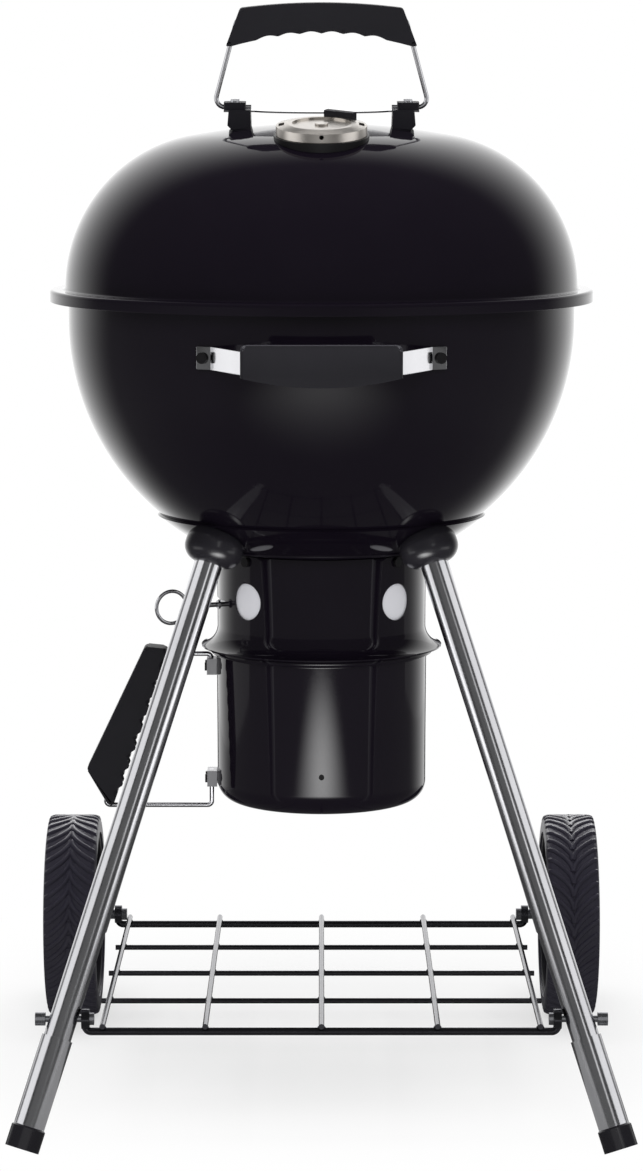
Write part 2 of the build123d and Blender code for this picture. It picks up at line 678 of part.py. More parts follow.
def lid_shell():
    """Drawn lid with its flange, the vent's throat and the holes for the block screws."""
    low, shoulder, crown = lid_outline(0)
    inner_low, inner_shoulder, inner_crown = lid_outline(-LID_WALL)
    skirt_bottom = lid_flange_top - LID_FLANGE_HEIGHT
    skirt_inner = lid_flange_radius - LID_WALL
    underside = lid_flange_top - LID_WALL
    flange = Polyline(
        inner_low, (inner_low.X, underside), (skirt_inner, underside), (skirt_inner, skirt_bottom),
        (lid_flange_radius, skirt_bottom), (lid_flange_radius, lid_flange_top), low,
    )
    top = Line(crown @ 1, inner_crown @ 1)
    shell = lathe(flange, shoulder, crown, top, inner_crown, inner_shoulder)
    reach = BLOCK_DEPTH
    anchor = upright(BLOCK_SCREW_RADIUS + PIN_GAP, -reach, reach)
    shell -= [handle_frame * Pos(s * block_x, 0, 0) * anchor for s in SIDES.values()]
    return shell - vent_frame * upright(VENT_THROAT_RADIUS, -reach, reach)


def vent_base():
    """Ring that carries the vent cap on the lid's slope, with its air holes."""
    base = vent_frame * upright(VENT_BASE_RADIUS, -VENT_THROAT_RADIUS, VENT_BASE_HEIGHT)
    base -= dome(SEAT_GAP)
    hole = Pos(VENT_HOLE_CIRCLE, 0, 0) * upright(VENT_HOLE_RADIUS, -VENT_CAP_RADIUS, VENT_CAP_RADIUS)
    rivet = upright(VENT_RIVET_RADIUS + PIN_GAP, -VENT_CAP_RADIUS, VENT_CAP_RADIUS)
    rivet_head = upright(VENT_HUB_RADIUS + PIN_GAP, -VENT_CAP_RADIUS, PIN_GAP)
    return base - [vent_frame * cut for cut in around(VENT_HOLES, hole) + [rivet, rivet_head]]


def vent_cap_body():
    """Outside of the vent cap as a turned solid in the vent's frame."""
    return turned(
        [
            (0, vent_cap_low), (VENT_CAP_RADIUS, vent_cap_low),
            (VENT_CAP_RADIUS, vent_cap_top - VENT_SHOULDER_DROP),
            (VENT_SHOULDER_RADIUS, vent_cap_top), (VENT_DISH_RADIUS, vent_cap_top),
            (VENT_DISH_RADIUS, vent_dish_floor), (0, vent_dish_floor),
        ]
    )


def vent_cap():
    """Turning steel cap with slots in its shoulder and holes in its floor."""
    wall = VENT_CAP_WALL
    dish_under = vent_dish_floor - wall
    cavity = turned(
        [
            (VENT_HUB_RADIUS, vent_cap_low + wall), (VENT_CAP_RADIUS - wall, vent_cap_low + wall),
            (VENT_CAP_RADIUS - wall, vent_cap_top - VENT_SHOULDER_DROP - wall),
            (VENT_SHOULDER_RADIUS, vent_cap_top - wall),
            (VENT_DISH_RADIUS + wall, vent_cap_top - wall),
            (VENT_DISH_RADIUS + wall, dish_under), (VENT_HUB_RADIUS, dish_under),
        ]
    )
    cap = vent_cap_body() - cavity
    slot_x = (VENT_CAP_RADIUS + VENT_SHOULDER_RADIUS) / 2
    slot = Pos(slot_x, 0, vent_cap_top) * Box(VENT_SLOT_WIDTH, VENT_SLOT_LENGTH, VENT_CAP_HEIGHT)
    floor_hole = Pos(VENT_HOLE_CIRCLE, 0, 0) * upright(VENT_HOLE_RADIUS, 0, dish_under)
    side_z = (vent_cap_low + vent_cap_top) / 2
    side_hole = Pos(0, 0, side_z) * along_x(
        VENT_SIDE_HOLE_RADIUS, VENT_SHOULDER_RADIUS, 2 * VENT_CAP_RADIUS
    )
    cap -= around(len(SIDES), slot)
    cap -= around(VENT_HOLES, floor_hole, 180 / VENT_HOLES)
    cap -= around(VENT_SIDE_HOLES, side_hole, 90)
    return vent_frame * (cap - upright(VENT_RIVET_RADIUS + PIN_GAP, 0, 2 * vent_cap_top))


def vent_tab():
    """Moulded thumb tab on the vent cap's shoulder."""
    reach = (VENT_CAP_RADIUS + VENT_DISH_RADIUS) / 2
    height = VENT_CAP_HEIGHT + VENT_TAB_HEIGHT
    middle = vent_cap_low + height / 2
    tab = Pos(reach, 0, middle) * Box(VENT_TAB_WIDTH, VENT_TAB_LENGTH, height)
    return vent_frame * Rot(0, 0, VENT_TAB_ANGLE) * (tab - vent_cap_body())


def vent_rivet():
    """Rivet that the vent cap turns on."""
    low = -LID_WALL
    head = vent_dish_floor + SEAT_GAP
    rivet = upright(VENT_RIVET_RADIUS, low, head)
    rivet += upright(VENT_HUB_RADIUS, head, head + VENT_RIVET_HEAD)
    return vent_frame * (rivet + upright(VENT_HUB_RADIUS, low, 0))


def ash_pot():
    """Round pot with a rolled rim that hangs below the tower."""
    def side_and_floor(radius, floor, corner):
        arc = CenterArc((radius - corner, floor + corner), corner, 270, 90)
        return arc, Line((0, floor), arc @ 0)

    outer_arc, outer_floor = side_and_floor(pot_radius, pot_bottom, POT_CORNER)
    inner_arc, inner_floor = side_and_floor(
        pot_inner_radius, pot_bottom + POT_WALL, POT_CORNER - POT_WALL
    )
    bead_low = pot_top - POT_BEAD_HEIGHT
    rim = Polyline(
        outer_arc @ 1, (pot_radius, bead_low), (pot_bead_radius, bead_low),
        (pot_bead_radius, pot_top), (pot_inner_radius, pot_top), inner_arc @ 1,
    )
    axis_line = Line(outer_floor @ 0, inner_floor @ 0)
    return lathe(outer_arc, rim, inner_arc, inner_floor, axis_line, outer_floor)


def pot_clips():
    """Spring fingers below the tower's ledge that grip the pot's mouth from inside."""
    outer = tower_inner_radius - SEAT_GAP
    bulge = pot_inner_radius - MOVE_GAP
    inner = outer - CLIP_THICKNESS
    top = ledge_bottom - PIN_GAP
    middle = pot_top - CLIP_REACH / 3
    low = pot_top - CLIP_REACH
    finger = turned(
        [
            (inner, top), (outer, top), (outer, tower_bottom), (bulge, middle), (outer, low),
            (inner, low), (bulge - CLIP_THICKNESS, middle), (inner, tower_bottom),
        ],
        CLIP_SECTOR,
    )
    return Compound(children=around(CLIPS, finger, 90 - CLIP_SECTOR / 2))


def pot_wire_points():
    """Corners of the ash pot's wire handle, as distance from the axis and height."""
    pin = pot_radius + POT_WIRE_STANDOFF
    top = pot_top - POT_BEAD_HEIGHT - HANDLE_WIRE_RADIUS - SEAT_GAP
    low = pot_top - POT_WIRE_LOW_DROP
    return [
        (-pin, pot_top - BRACKET_TOP_DROP - BRACKET_HEIGHT), (-pin, top),
        (-pot_radius - POT_WIRE_TOP_REACH, top), (-pot_radius - POT_WIRE_LOW_REACH, low),
        (-pin, low), (-pin, pot_top - BRACKET_LOW_DROP),
    ]


def pot_handle_wire():
    """Bent wire handle of the ash pot."""
    return bent_wire(pot_wire_points(), HANDLE_BEND / 2, HANDLE_WIRE_RADIUS)


def pot_handle_grip():
    """Moulded grip on the pot handle's slanting run, its scallops towards the pot."""
    points = pot_wire_points()
    top, low = Vector(points[2][0], 0, points[2][1]), Vector(points[3][0], 0, points[3][1])
    frame = Plane(origin=(top + low) / 2, x_dir=top - low, z_dir=(top - low).cross(Vector(0, 1, 0)))
    tunnel = bent_wire(points, HANDLE_BEND / 2, HANDLE_WIRE_RADIUS + PIN_GAP)
    return frame * grip(POT_GRIP_LENGTH) - tunnel


def bracket_heights():
    """Middle heights of the two brackets on the pot's side."""
    return [pot_top - drop - BRACKET_HEIGHT / 2 for drop in (BRACKET_TOP_DROP, BRACKET_LOW_DROP)]


def bracket_rivet(height, row, radius, start, end):
    """Rod through a bracket towards the pot's wall."""
    return Pos(0, row * BRACKET_RIVET_SPACING / 2, height) * along_x(radius, start, end)


def pot_brackets():
    """Brackets on the pot's side that hold the ends of the wire handle."""
    far = -pot_radius - BRACKET_DEPTH
    near = -pot_radius / 2
    hole = bent_wire(pot_wire_points(), HANDLE_BEND / 2, HANDLE_WIRE_RADIUS + PIN_GAP)
    pot_side = upright(pot_radius + SEAT_GAP, 0, RIM_HEIGHT)
    brackets = []
    for height in bracket_heights():
        block = Pos((far + near) / 2, 0, height) * Box(near - far, BRACKET_WIDTH, BRACKET_HEIGHT)
        block -= pot_side + hole
        for row in (-1, 1):
            block -= bracket_rivet(height, row, BRACKET_RIVET_RADIUS + PIN_GAP, 2 * far, near)
        brackets.append(block)
    return Compound(children=brackets)


def pot_rivets():
    """Rivets of the two brackets and the one low on the pot's front."""
    far = -pot_radius - BRACKET_DEPTH
    head = 2 * BRACKET_RIVET_RADIUS
    rivets = []
    for height in bracket_heights():
        for row in (-1, 1):
            reach = math.sqrt(pot_radius**2 - (BRACKET_RIVET_SPACING / 2 + head) ** 2)
            rivet = bracket_rivet(height, row, BRACKET_RIVET_RADIUS, far, -reach - POT_WALL)
            rivet += bracket_rivet(height, row, head, far - BRACKET_RIVET_RADIUS, far)
            rivets.append(rivet)
    front = Pos(0, 0, pot_bottom + POT_RIVET_HEIGHT) * Rot(0, 0, -90)
    rivets.append(front * along_x(POT_RIVET_RADIUS, pot_radius + SEAT_GAP, pot_radius + POT_WALL))
    return Compound(children=rivets)


def strap_route():
    """Corners of the front handle's strap seen from above."""
    turn = math.radians(STRAP_FOOT_ANGLE)
    outward = Vector(math.sin(turn), -math.cos(turn))
    sideways = Vector(math.cos(turn), math.sin(turn))
    foot = outward * (BOWL_RADIUS + SEAT_GAP + STRAP_THICKNESS / 2)
    right = [
        Vector(STRAP_SPREAD / 2, front_handle_y),
        foot - sideways * (STRAP_FOOT_LENGTH / 2),
        foot + sideways * (STRAP_FOOT_LENGTH / 2),
    ]
    left = [Vector(-point.X, point.Y) for point in reversed(right)]
    return left + right


def front_strap():
    """Bent flat bar that carries the front grip on the bowl."""
    half = Vector(0, 0, STRAP_HEIGHT / 2)
    middle = RIM_HEIGHT - strap_top - STRAP_HEIGHT / 2
    path = Pos(0, 0, middle) * FilletPolyline(*strap_route(), radius=STRAP_THICKNESS)
    section = Plane(origin=path @ 0, z_dir=path % 0, x_dir=half) * Rectangle(
        STRAP_HEIGHT, STRAP_THICKNESS
    )
    strap = sweep(section, path=path)
    rivet = STRAP_RIVET_RADIUS + PIN_GAP
    strap -= [strap_rivet(s, BOWL_RADIUS / 2, 2 * BOWL_RADIUS, rivet) for s in SIDES.values()]
    screw = SCREW_RADIUS + PIN_GAP
    return strap - [front_screw(s, screw, -STRAP_THICKNESS, STRAP_THICKNESS) for s in SIDES.values()]


def front_screw(side, radius, start, end):
    """Rod through the strap into the front grip, as distances in front of the strap's middle."""
    middle = RIM_HEIGHT - strap_top - STRAP_HEIGHT / 2
    place = Pos(side * STRAP_SCREW_SPACING / 2, front_handle_y, middle) * Rot(0, 0, -90)
    return place * along_x(radius, start, end)


def front_grip():
    """Moulded plate on the front strap, straight above and bellied below, left bare."""
    half = FRONT_GRIP_LENGTH / 2
    top = RIM_HEIGHT - FRONT_GRIP_TOP
    low = top - FRONT_GRIP_HEIGHT
    corner = FRONT_GRIP_CORNER
    edge = Polyline(
        (-half, low), (-half, top - corner), (-half + corner, top), (half - corner, top),
        (half, top - corner), (half, low),
    )
    belly = ThreePointArc((half, low), (0, low - FRONT_GRIP_BELLY), (-half, low))
    back = front_handle_y - STRAP_THICKNESS / 2 - SEAT_GAP
    plate = Pos(0, back, 0) * extrude(Plane.XZ * make_face(Curve() + [edge, belly]), FRONT_GRIP_THICKNESS)
    front = plate.faces().sort_by(Axis.Y)[0]
    plate = chamfer(front.edges(), FRONT_GRIP_EDGE)
    screw = SCREW_RADIUS + PIN_GAP
    depth = FRONT_GRIP_THICKNESS - FRONT_GRIP_EDGE
    return plate - [front_screw(s, screw, 0, depth) for s in SIDES.values()]


def front_screws():
    """Screws from behind the strap into the front grip."""
    back = -STRAP_THICKNESS / 2 - SEAT_GAP
    tip = FRONT_GRIP_THICKNESS - 2 * FRONT_GRIP_EDGE
    screws = [
        front_screw(s, SCREW_RADIUS, back, tip)
        + front_screw(s, SCREW_HEAD_RADIUS, back - SCREW_HEAD_HEIGHT, back)
        for s in SIDES.values()
    ]
    return Compound(children=screws)


def front_rivets():
    """Rivets that hold the strap's feet on the bowl."""
    head = BOWL_RADIUS + 2 * SEAT_GAP + STRAP_THICKNESS
    inner = bowl_inner_radius - STRAP_RIVET_HEAD_HEIGHT
    rivets = [
        strap_rivet(s, inner, head, STRAP_RIVET_RADIUS)
        + strap_rivet(s, head, head + STRAP_RIVET_HEAD_HEIGHT, STRAP_RIVET_HEAD_RADIUS)
        for s in SIDES.values()
    ]
    return Compound(children=rivets)


def grate(radius, height, pitch):
    """Round grate of parallel rods in a ring, with two cross bars."""
    ring = upright(radius, height, height + GRATE_RING_HEIGHT)
    ring -= upright(radius - GRATE_RING_WIDTH, height, height + GRATE_RING_HEIGHT)
    reach = radius - GRATE_RING_WIDTH / 2
    count = int(reach // pitch)
    middle = height + GRATE_RING_HEIGHT / 2
    rods = []
    for index in range(-count, count + 1):
        half = math.sqrt(reach**2 - (index * pitch) ** 2)
        rods.append(rod((index * pitch, -half, middle), (index * pitch, half, middle), GRATE_ROD_RADIUS))
    bar_y = reach * GRATE_BAR_SHARE
    bar_half = math.sqrt(reach**2 - bar_y**2)
    for y in (-bar_y, bar_y):
        rods.append(rod((-bar_half, y, middle), (bar_half, y, middle), GRATE_ROD_RADIUS))
    return ring + rods


def grate_tabs(height, reach, wall_radius):
    """Tabs on the bowl's inner wall that carry a grate from below."""
    inner = reach - TAB_LENGTH
    low = height - SEAT_GAP - TAB_THICKNESS
    middle = low + TAB_THICKNESS / 2
    tab = Pos((inner + wall_radius) / 2, 0, middle) * Box(wall_radius - inner, TAB_WIDTH, TAB_THICKNESS)
    inside = Pos(0, 0, bowl_centre_z) * Sphere(bowl_inner_radius - SEAT_GAP)
    inside += upright(bowl_inner_radius - SEAT_GAP, bowl_centre_z, RIM_HEIGHT)
    return Compound(children=[piece & inside for piece in around(TABS, tab, 45)])


def leg_socket(side, row):
    """Moulded socket that takes a leg's top and seats on the support ring."""
    top = leg_ends(side, row)[0]
    frame = Plane(origin=top, z_dir=leg_frame(side, row).z_dir)
    body = upright(SOCKET_RADIUS, -SOCKET_BELOW, SOCKET_ABOVE)
    body = fillet(body.edges().group_by(Axis.Z)[-1], SOCKET_TOP_ROUND)
    body = fillet(body.edges().group_by(Axis.Z)[0], SOCKET_LOW_ROUND)
    body -= upright(LEG_RADIUS + PIN_GAP, -2 * SOCKET_BELOW, LEG_INSERT + PIN_GAP)
    socket = frame * body - Pos(0, 0, bowl_centre_z) * Sphere(seat_radius)
    reach = seat_radius + SOCKET_BOLT_REACH
    return socket - bolt_line(side, row, seat_radius / 2, reach, SOCKET_BOLT_RADIUS + PIN_GAP)


def socket_bolts():
    """Bolts from inside the bowl through the ring into the leg sockets."""
    seat = bowl_inner_radius - SEAT_GAP - BOWL_WALL / 10
    head = seat - SOCKET_BOLT_HEAD_HEIGHT
    tip = seat_radius + SOCKET_BOLT_REACH / 2
    bolts = [
        bolt_line(side, row, seat, tip, SOCKET_BOLT_RADIUS)
        + bolt_line(side, row, head, seat, SOCKET_BOLT_HEAD_RADIUS)
        for side, row in corners
    ]
    return Compound(children=bolts)


def shelf_bolt_line(side, start, end, radius):
    """Rod along X at the front shelf bolts."""
    return Pos(0, bolt_point.Y, SHELF_BOLT_HEIGHT) * along_x(radius, side * start, side * end)


def axle_line(side, start, end, radius):
    """Rod along X on the wheels' axis."""
    return Pos(0, AXLE_Y, axle_z) * along_x(radius, side * start, side * end)


def leg_tube(side, row):
    """Steel leg tube with the cross hole for its shelf bolt or stub axle."""
    low = FOOT_CAP_FLOOR + SEAT_GAP if row == "front" else -AXLE_LEG_TAIL
    high = leg_length(side, row) + LEG_INSERT
    tube = upright(LEG_RADIUS, low, high) - upright(LEG_RADIUS - LEG_WALL, low, high)
    tube = leg_frame(side, row) * tube
    if row == "front":
        return tube - shelf_bolt_line(side, 0, 2 * FOOT_X, SHELF_BOLT_RADIUS + PIN_GAP)
    return tube - axle_line(side, 0, 2 * FOOT_X, AXLE_RADIUS + PIN_GAP)


def leg_sleeve(side):
    """Wider sleeve on the lower end of a front leg."""
    bore = LEG_RADIUS + PIN_GAP
    low = FOOT_CAP_HEIGHT + SEAT_GAP
    high = low + LEG_SLEEVE_LENGTH
    sleeve = upright(bore + LEG_SLEEVE_WALL, low, high) - upright(bore, low, high)
    return leg_frame(side, "front") * sleeve


def foot_cap(side):
    """Moulded cap on a front leg, cut flat where it stands on the floor."""
    cap = upright(foot_cap_radius, 0, FOOT_CAP_HEIGHT)
    cap = chamfer(cap.edges().group_by(Axis.Z)[-1], LEG_SLEEVE_WALL)
    cap -= upright(LEG_RADIUS + PIN_GAP, FOOT_CAP_FLOOR, 2 * FOOT_CAP_HEIGHT)
    ground = Pos(side * FOOT_X, -FOOT_Y, -foot_cap_radius) * Box(
        4 * foot_cap_radius, 4 * foot_cap_radius, 2 * foot_cap_radius
    )
    return leg_frame(side, "front") * cap - ground


def leg_plugs():
    """End plugs of the two rear legs."""
    end = -AXLE_LEG_TAIL - SEAT_GAP
    plug = upright(LEG_RADIUS, end - PLUG_RIM, end)
    plug += upright(LEG_RADIUS - LEG_WALL - PIN_GAP, end, end + PLUG_HEIGHT)
    plugs = []
    for side in SIDES.values():
        axle = axle_line(side, 0, 2 * FOOT_X, AXLE_RADIUS + PIN_GAP)
        plugs.append(leg_frame(side, "rear") * plug - axle)
    return Compound(children=plugs)


def shelf_rail(y, rail_z, eye_z, eye_face, hole_radius):
    """Shelf rail whose ends turn up into an eye on the inner side of each leg."""
    eye_middle = eye_face - SHELF_RAIL_RADIUS
    points = [(-eye_middle, eye_z), (-eye_middle, rail_z), (eye_middle, rail_z), (eye_middle, eye_z)]
    rail = Pos(0, y, 0) * bent_wire(points, SHELF_BEND, SHELF_RAIL_RADIUS)
    inner = eye_face - 2 * SHELF_RAIL_RADIUS
    for side in SIDES.values():
        rail += Pos(0, y, eye_z) * along_x(SHELF_EYE_RADIUS, side * inner, side * eye_face)
        rail -= Pos(0, y, eye_z) * along_x(hole_radius + PIN_GAP, side * inner / 2, side * 2 * eye_face)
    return rail


def long_wire_z(y):
    """Height of the long wires' centre line, which rest on the two rails."""
    rise = SHELF_RAIL_RADIUS + SHELF_WIRE_RADIUS + PIN_GAP
    share = (y - bolt_point.Y) / (AXLE_Y - bolt_point.Y)
    return shelf_front_z + rise + share * (shelf_rear_z - shelf_front_z)


def shelf_long_wires():
    """Wires that run from the front rail to the rear rail."""
    front = bolt_point.Y - SHELF_OVERHANG
    rear = AXLE_Y + SHELF_OVERHANG
    wires = [
        rod((x, front, long_wire_z(front)), (x, rear, long_wire_z(rear)), SHELF_WIRE_RADIUS)
        for x in long_wire_x
    ]
    return Compound(children=wires)


def shelf_cross_wires():
    """Cross wires below the long wires, evenly spaced between the rails."""
    half = shelf_outer_wire_x + SHELF_OVERHANG
    pitch = (AXLE_Y - bolt_point.Y) / (SHELF_CROSS_WIRES + 1)
    wires = []
    for index in range(SHELF_CROSS_WIRES):
        y = bolt_point.Y + (index + 1) * pitch
        z = long_wire_z(y) - 2 * SHELF_WIRE_RADIUS - PIN_GAP
        wires.append(rod((-half, y, z), (half, y, z), SHELF_WIRE_RADIUS))
    return Compound(children=wires)


def shelf_bolts():
    """Bolts with cap nuts that hold the front rail's eyes on the legs."""
    head = front_eye_x - 2 * SHELF_RAIL_RADIUS - SEAT_GAP
    nut = 2 * bolt_point.X - front_eye_x
    bolts = [
        shelf_bolt_line(side, head, nut, SHELF_BOLT_RADIUS)
        + shelf_bolt_line(side, head - SHELF_BOLT_HEAD_HEIGHT, head, SHELF_BOLT_HEAD_RADIUS)
        + shelf_bolt_line(side, nut, nut + SHELF_NUT_HEIGHT, SHELF_NUT_RADIUS)
        for side in SIDES.values()
    ]
    return Compound(children=bolts)


def hub_span():
    """Inner and outer ends of the wheel's hub, as distances from the middle of the grill."""
    return hub_inner_x, hub_inner_x + HUB_LENGTH


def stub_axle(side):
    """Stub axle through a rear leg, with its head, shoulder and nut."""
    head = rear_eye_x - 2 * SHELF_RAIL_RADIUS - SEAT_GAP
    inner, outer = hub_span()
    end = outer + MOVE_GAP
    axle = axle_line(side, head, end, AXLE_RADIUS)
    axle += axle_line(side, head - AXLE_HEAD_HEIGHT, head, AXLE_HEAD_RADIUS)
    axle += axle_line(side, inner - MOVE_GAP - WEB_THICKNESS / 4, inner - MOVE_GAP, AXLE_NUT_RADIUS)
    return axle + axle_line(side, end, end + AXLE_NUT_HEIGHT, AXLE_NUT_RADIUS)


def wheel_place(side):
    """Placing of a wheel turned about Z onto the axle, its outer face away from the grill."""
    return Pos(side * wheel_mid_x, AXLE_Y, axle_z) * Rot(0, side * 90, 0)


def tyre(side):
    """Tyre with rounded shoulders."""
    half = WHEEL_WIDTH / 2
    ring = upright(WHEEL_RADIUS, -half, half)
    ring = fillet(ring.edges().group_by(Axis.Z)[0] + ring.edges().group_by(Axis.Z)[-1], TYRE_SHOULDER)
    return wheel_place(side) * (ring - upright(tyre_inner_radius, -half, half))


def wheel(side):
    """Moulded wheel: rim barrel, web set towards the outside, and hub."""
    half = WHEEL_WIDTH / 2 - RIM_INSET
    outer = tyre_inner_radius - SEAT_GAP
    inner = outer - RIM_DEPTH
    inner_end, outer_end = (end - wheel_mid_x for end in hub_span())
    body = upright(outer, -half, half) - upright(inner, -half, half)
    body += upright(inner + RIM_DEPTH / 2, WEB_OFFSET - WEB_THICKNESS / 2, WEB_OFFSET + WEB_THICKNESS / 2)
    body += upright(HUB_RADIUS, inner_end, outer_end)
    return wheel_place(side) * (body - upright(AXLE_RADIUS + PIN_GAP, -half, 2 * half))


parts = {
    "bowl_shell": bowl_shell(),
    "support_ring": support_ring(),
    "front_strap": front_strap(),
    "front_grip": front_grip(),
    "front_screws": front_screws(),
    "front_rivets": front_rivets(),
    "cooking_grate_tabs": grate_tabs(cooking_grate_z, cooking_grate_radius, BOWL_RADIUS),
    "charcoal_grate_tabs": grate_tabs(charcoal_grate_z, CHARCOAL_GRATE_RADIUS, BOWL_RADIUS),
    "cooking_grate": grate(cooking_grate_radius, cooking_grate_z, COOKING_ROD_PITCH),
    "charcoal_grate": grate(CHARCOAL_GRATE_RADIUS, charcoal_grate_z, CHARCOAL_ROD_PITCH),
    "lid_shell": lid_shell(),
    "heat_shield": heat_shield(),
    "handle_clamps": handle_clamps(),
    "clamp_screws": clamp_screws(),
    "block_screws": block_screws(),
    "lid_handle_wire": lid_handle_wire(),
    "lid_handle_grip": lid_handle_grip(),
    "vent_base": vent_base(),
    "vent_rivet": vent_rivet(),
    "vent_cap": vent_cap(),
    "vent_tab": vent_tab(),
    "tower_shell": tower_shell(),
    "tower_screws": tower_screws(),
    "sleeve_ledge": sleeve_ledge(),
    "air_sleeve": air_sleeve(),
    "air_lever": air_lever(),
    "lever_ring": lever_ring(),
    "ash_pot": ash_pot(),
    "pot_clips": pot_clips(),
    "pot_handle_wire": pot_handle_wire(),
    "pot_handle_grip": pot_handle_grip(),
    "pot_brackets": pot_brackets(),
    "pot_rivets": pot_rivets(),
    "socket_bolts": socket_bolts(),
    "leg_plugs": leg_plugs(),
    "shelf_front_rail": shelf_rail(
        bolt_point.Y, shelf_front_z, SHELF_BOLT_HEIGHT, front_eye_x, SHELF_BOLT_RADIUS
    ),
    "shelf_rear_rail": shelf_rail(AXLE_Y, shelf_rear_z, axle_z, rear_eye_x, AXLE_RADIUS),
    "shelf_long_wires": shelf_long_wires(),
    "shelf_cross_wires": shelf_cross_wires(),
    "shelf_bolts": shelf_bolts(),
}
for name, sign in SIDES.items():
    parts[f"handle_block_{name}"] = handle_block(sign)
    parts[f"leg_sleeve_{name}"] = leg_sleeve(sign)
    parts[f"foot_cap_{name}"] = foot_cap(sign)
    parts[f"stub_axle_{name}"] = stub_axle(sign)
    parts[f"tyre_{name}"] = tyre(sign)
    parts[f"wheel_{name}"] = wheel(sign)
    for row in ("front", "rear"):
        parts[f"leg_socket_{row}_{name}"] = leg_socket(sign, row)
        parts[f"leg_tube_{row}_{name}"] = leg_tube(sign, row)

os.makedirs("parts", exist_ok=True)
to_frame = Pos(0, frame_shift, 0)
for node, piece in parts.items():
    export_step(Compound(children=[to_frame * solid for solid in piece.solids()]), f"parts/{node}.step")

vent_seat = to_frame * vent_frame
print("kettle axis y", round(frame_shift, 3), "axle y", round(AXLE_Y + frame_shift, 3))
print("vent place", vent_seat.position, "vent axis", Plane(vent_seat).z_dir)
print("tower", round(tower_top, 2), round(tower_bottom, 2), "pot", round(pot_top, 2), round(pot_bottom, 2))
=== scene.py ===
"""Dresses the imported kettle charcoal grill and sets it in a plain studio.

Meshes are drawn in millimetres about the kettle's upright axis or a wheel's axle, then moved into
the frame's metres. The front faces -Y, and left and right are as seen from the front.
"""

import json
import logging
import math
from collections.abc import Iterable, Sequence
from dataclasses import dataclass
from enum import Enum

import bmesh
import bpy
from mathutils import Euler, Matrix, Vector


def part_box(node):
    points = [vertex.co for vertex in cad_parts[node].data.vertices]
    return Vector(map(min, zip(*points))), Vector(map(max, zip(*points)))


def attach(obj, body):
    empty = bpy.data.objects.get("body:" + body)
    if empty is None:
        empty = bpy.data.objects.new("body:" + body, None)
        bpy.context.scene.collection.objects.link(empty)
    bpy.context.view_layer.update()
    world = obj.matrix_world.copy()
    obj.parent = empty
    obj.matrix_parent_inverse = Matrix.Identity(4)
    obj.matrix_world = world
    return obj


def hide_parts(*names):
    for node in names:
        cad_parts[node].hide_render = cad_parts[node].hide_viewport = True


Material = bpy.types.Material
Mesh = bpy.types.Mesh
Socket = bpy.types.NodeSocket
Tree = bpy.types.NodeTree

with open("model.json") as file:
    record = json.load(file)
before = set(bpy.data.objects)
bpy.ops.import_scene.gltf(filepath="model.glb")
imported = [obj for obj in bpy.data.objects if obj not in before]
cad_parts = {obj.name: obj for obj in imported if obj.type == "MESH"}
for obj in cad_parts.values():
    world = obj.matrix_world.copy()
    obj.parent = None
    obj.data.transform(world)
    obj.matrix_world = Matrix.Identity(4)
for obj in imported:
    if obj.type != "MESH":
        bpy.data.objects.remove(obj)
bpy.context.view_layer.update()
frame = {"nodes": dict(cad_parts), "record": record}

log = logging.getLogger("kettle_grill")

MM = 0.001
SIDES = {"left": -1, "right": 1}
ROWS = ("front", "rear")
UP = Vector((0, 0, 1))
QUARTER_TURN = math.radians(90)
# Steps of a full turn, of an arc, of a rounded corner and of a cutter's circle
TURN_STEPS = 192
ARC_STEPS = 48
ROUND_STEPS = 5
ROD_STEPS = 64
# Profile of a rim that is rounded to a quarter circle
ROUND_PROFILE = 0.5
# Edges that turn by more than this stay crisp
SHARP_ANGLE = math.radians(38)
# A side longer than LONG_SIDE gets a point GUARD away from each end, in millimetres
GUARD = 0.5
LONG_SIDE = 6.0
# A point closer to the axis than this many millimetres lies on it
POLE_RADIUS = 1e-6
# Fineness of a weld bead and the range of its scale
BEAD_DETAIL = 3
BEAD_LEAST = (0.8, 0.8, 0.6)
BEAD_MOST = (1.1, 1.1, 0.8)
# The sRGB curve: a short straight start and a power above it
SRGB_KNEE = 0.04045
SRGB_SLOPE = 12.92
SRGB_OFFSET = 0.055
SRGB_POWER = 2.4


def box_mm(node: str) -> tuple[Vector, Vector]:
    """Reads the lowest and highest corners of a CAD node in millimetres.

    Args:
        node: Name of the node.

    Returns:
        The two corners.
    """
    low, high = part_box(node)
    return Vector(low) / MM, Vector(high) / MM


def middle_mm(node: str) -> Vector:
    """Middle of a CAD node's box in millimetres."""
    low, high = box_mm(node)
    return (low + high) / 2


def kettle_frame() -> Matrix:
    """Placing of meshes drawn in millimetres about the kettle's axis, with heights from the floor."""
    axis_y = middle_mm("bowl_shell").y
    return Matrix.Scale(MM, 4) @ Matrix.Translation((0, axis_y, 0))


def linear(hex_code: str) -> tuple[float, float, float, float]:
    """Turns an sRGB colour into a linear one.

    Args:
        hex_code: Colour such as #20242a.

    Returns:
        Red, green, blue and full cover.
    """
    channels = []
    for value in bytes.fromhex(hex_code[1:]):
        share = value / 0xFF
        if share <= SRGB_KNEE:
            channels.append(share / SRGB_SLOPE)
        else:
            channels.append(((share + SRGB_OFFSET) / (1 + SRGB_OFFSET)) ** SRGB_POWER)
    return (*channels, 1.0)


def add_node(tree: Tree, kind: str, inputs: dict | None = None, **settings: object) -> bpy.types.Node:
    """Adds a node to a shader or geometry tree.

    Args:
        tree: Tree that takes the node.
        kind: Blender's name of the node type.
        inputs: Sockets by name or number, each given a value or an output socket to link.
        settings: Properties of the node itself.

    Returns:
        The new node.
    """
    node = tree.nodes.new(kind)
    for key, value in settings.items():
        setattr(node, key, value)
    for key, value in (inputs or {}).items():
        socket = node.inputs[key]
        if isinstance(value, Socket):
            tree.links.new(value, socket)
        else:
            socket.default_value = value
    return node


